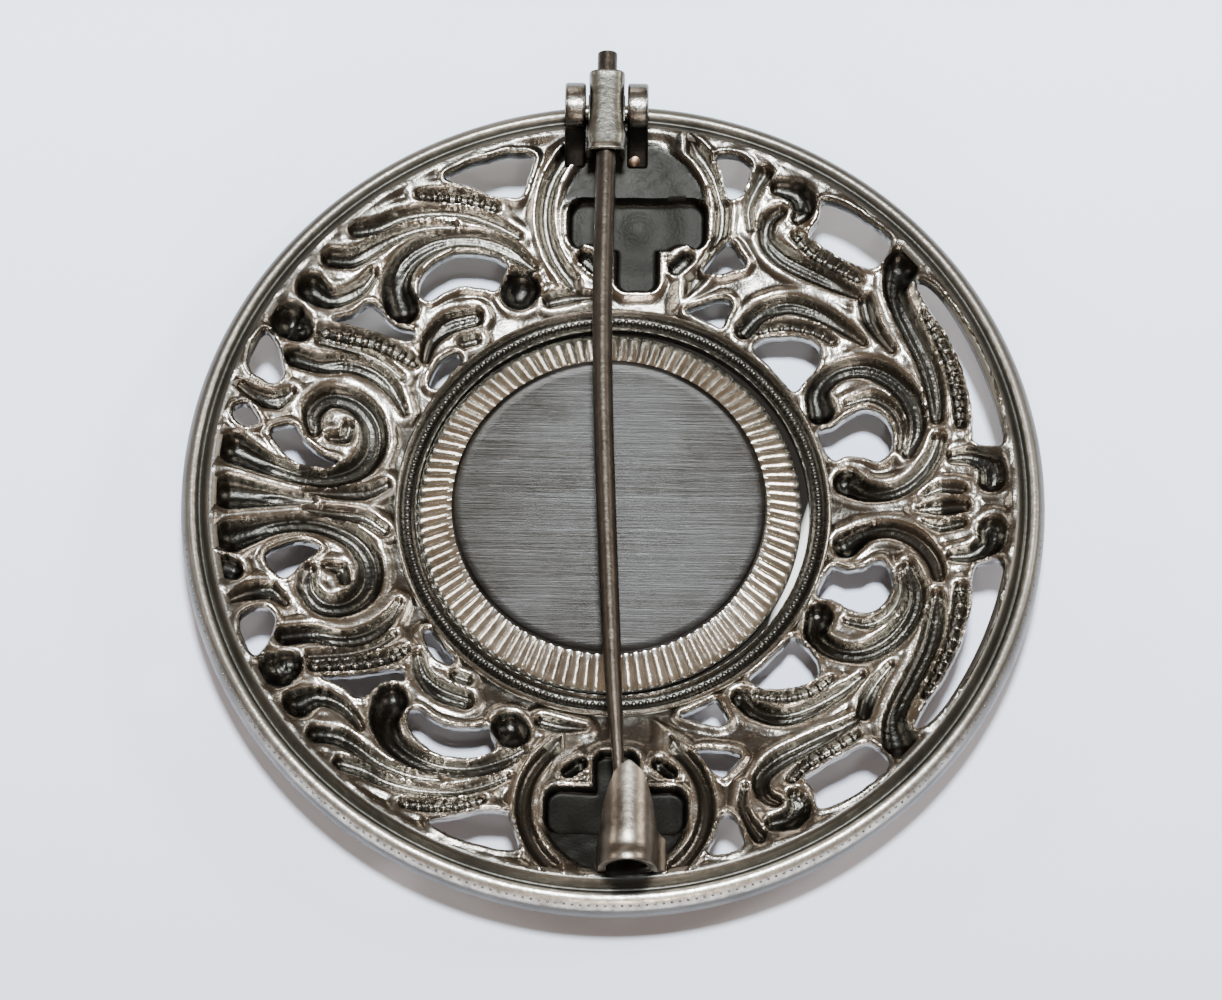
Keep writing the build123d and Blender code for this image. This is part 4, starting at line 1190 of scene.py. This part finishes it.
def catchPlace(u, v):
    # a leaf-shaped roof that widens southwards, then grows a left leg and a right tongue
    c = catch
    y = c["south"] + (c["north"] - c["south"]) * v
    half = math.radians(np.interp(y, *zip(*c["spread"]))) * c["radius"]
    leg = unit((c["legStart"] - y) / c["growRun"])
    tongue = unit((c["tongueStart"] - y) / c["growRun"])
    low = (roofMiddle - half) * (1 - leg)
    high = (roofMiddle + half) * (1 - tongue) + catchRun[-1] * tongue
    run = low + (high - low) * (u + 1) / 2
    x, z = (np.interp(run, catchRun, values) for values in catchLine.T)
    left = c["x"] - c["radius"]
    flare = 0.3 + 0.7 * unit((c["flareStart"] - y) / 0.5)
    x = max(x, left) - flare * max(0.0, left - x)
    z += bell(run, roofMiddle, c["roofRun"]) * (swell(y, *c["raised"]) - swell(y, *c["dent"]))
    if run < c["footLength"]:
        z += (dishRise(abs(y)) - dishRise(19.0)) * (c["footLength"] - run) / c["footLength"]
    return x, y, at(z)


hook = bentStrip("catch_hook", 72, 44, catchPlace, catch["sheet"], catch["bevel"])
finishPiece(hook, "frame", "oxidised_silver", metals["catch_silver"], "scroll_frame")
print("catch made")


# Table, lights and camera

table = newShape(bpy.ops.mesh.primitive_plane_add, "table", size=3)
table.data.materials.append(paleTable())

lamps = [
    # name, place, size, power, colour
    ("ceiling", (0.02, 0.01, 0.90), 0.11, 23.5, (0.90, 0.985, 1.065)),
    ("right_window", (0.62, 0.20, 0.52), 0.20, 3.2, (1.0, 0.96, 0.90)),
    ("left_window", (-0.66, 0.12, 0.44), 0.18, 1.5, (1.0, 0.95, 0.89)),
    ("back_light", (-0.10, 0.80, 0.30), 0.30, 1.2, (1.0, 0.92, 0.84)),
    ("front_window", (0.08, -0.80, 0.34), 0.16, 2.6, (1.0, 0.88, 0.80)),
    ("high_window", (0.10, -0.56, 0.88), 0.09, 1.3, (1.0, 0.94, 0.88)),
]
for name, place, size, power, colour in lamps:
    light = bpy.data.lights.new(name, "AREA")
    light.shape = "DISK"
    light.size = size
    light.energy = power
    light.color = colour
    lamp = bpy.data.objects.new(name, light)
    lamp.location = place
    lamp.rotation_euler = (-Vector(place)).to_track_quat("-Z", "Y").to_euler()
    bpy.context.scene.collection.objects.link(lamp)

world = bpy.data.worlds.new("room")
world.use_nodes = True
background = world.node_tree.nodes["Background"]
background.inputs["Color"].default_value = (0.212, 0.140, 0.084, 1)
background.inputs["Strength"].default_value = 1.0
bpy.context.scene.world = world

view = {
    "tilt": 21.5, "turn": 0.9, "distance": 400.0, "focal": 7680.0, "width": 1222.0, "height": 1000.0,
    "centrePixel": (613.0, 506.0), "sensor": 36.0,
}


def placeCamera():
    tilt = math.radians(view["tilt"])
    turn = math.radians(view["turn"])
    camera = bpy.data.cameras.new("camera")
    camera.sensor_width = view["sensor"]
    camera.lens = view["focal"] / view["width"] * view["sensor"]
    camera.clip_start = 0.01
    camera.clip_end = 10
    camera.shift_x = -(view["centrePixel"][0] - view["width"] / 2) / view["width"]
    camera.shift_y = (view["centrePixel"][1] - view["height"] / 2) / view["width"]
    holder = bpy.data.objects.new("camera", camera)
    away = Vector((math.sin(tilt) * math.sin(turn), -math.sin(tilt) * math.cos(turn), math.cos(tilt)))
    reach = view["distance"] * mm
    holder.location = Vector((0, 0, middleHeight * mm)) + away * reach
    holder.rotation_euler = (tilt, 0, turn)
    bpy.context.scene.collection.objects.link(holder)
    bpy.context.scene.camera = holder


placeCamera()
print("camera placed")
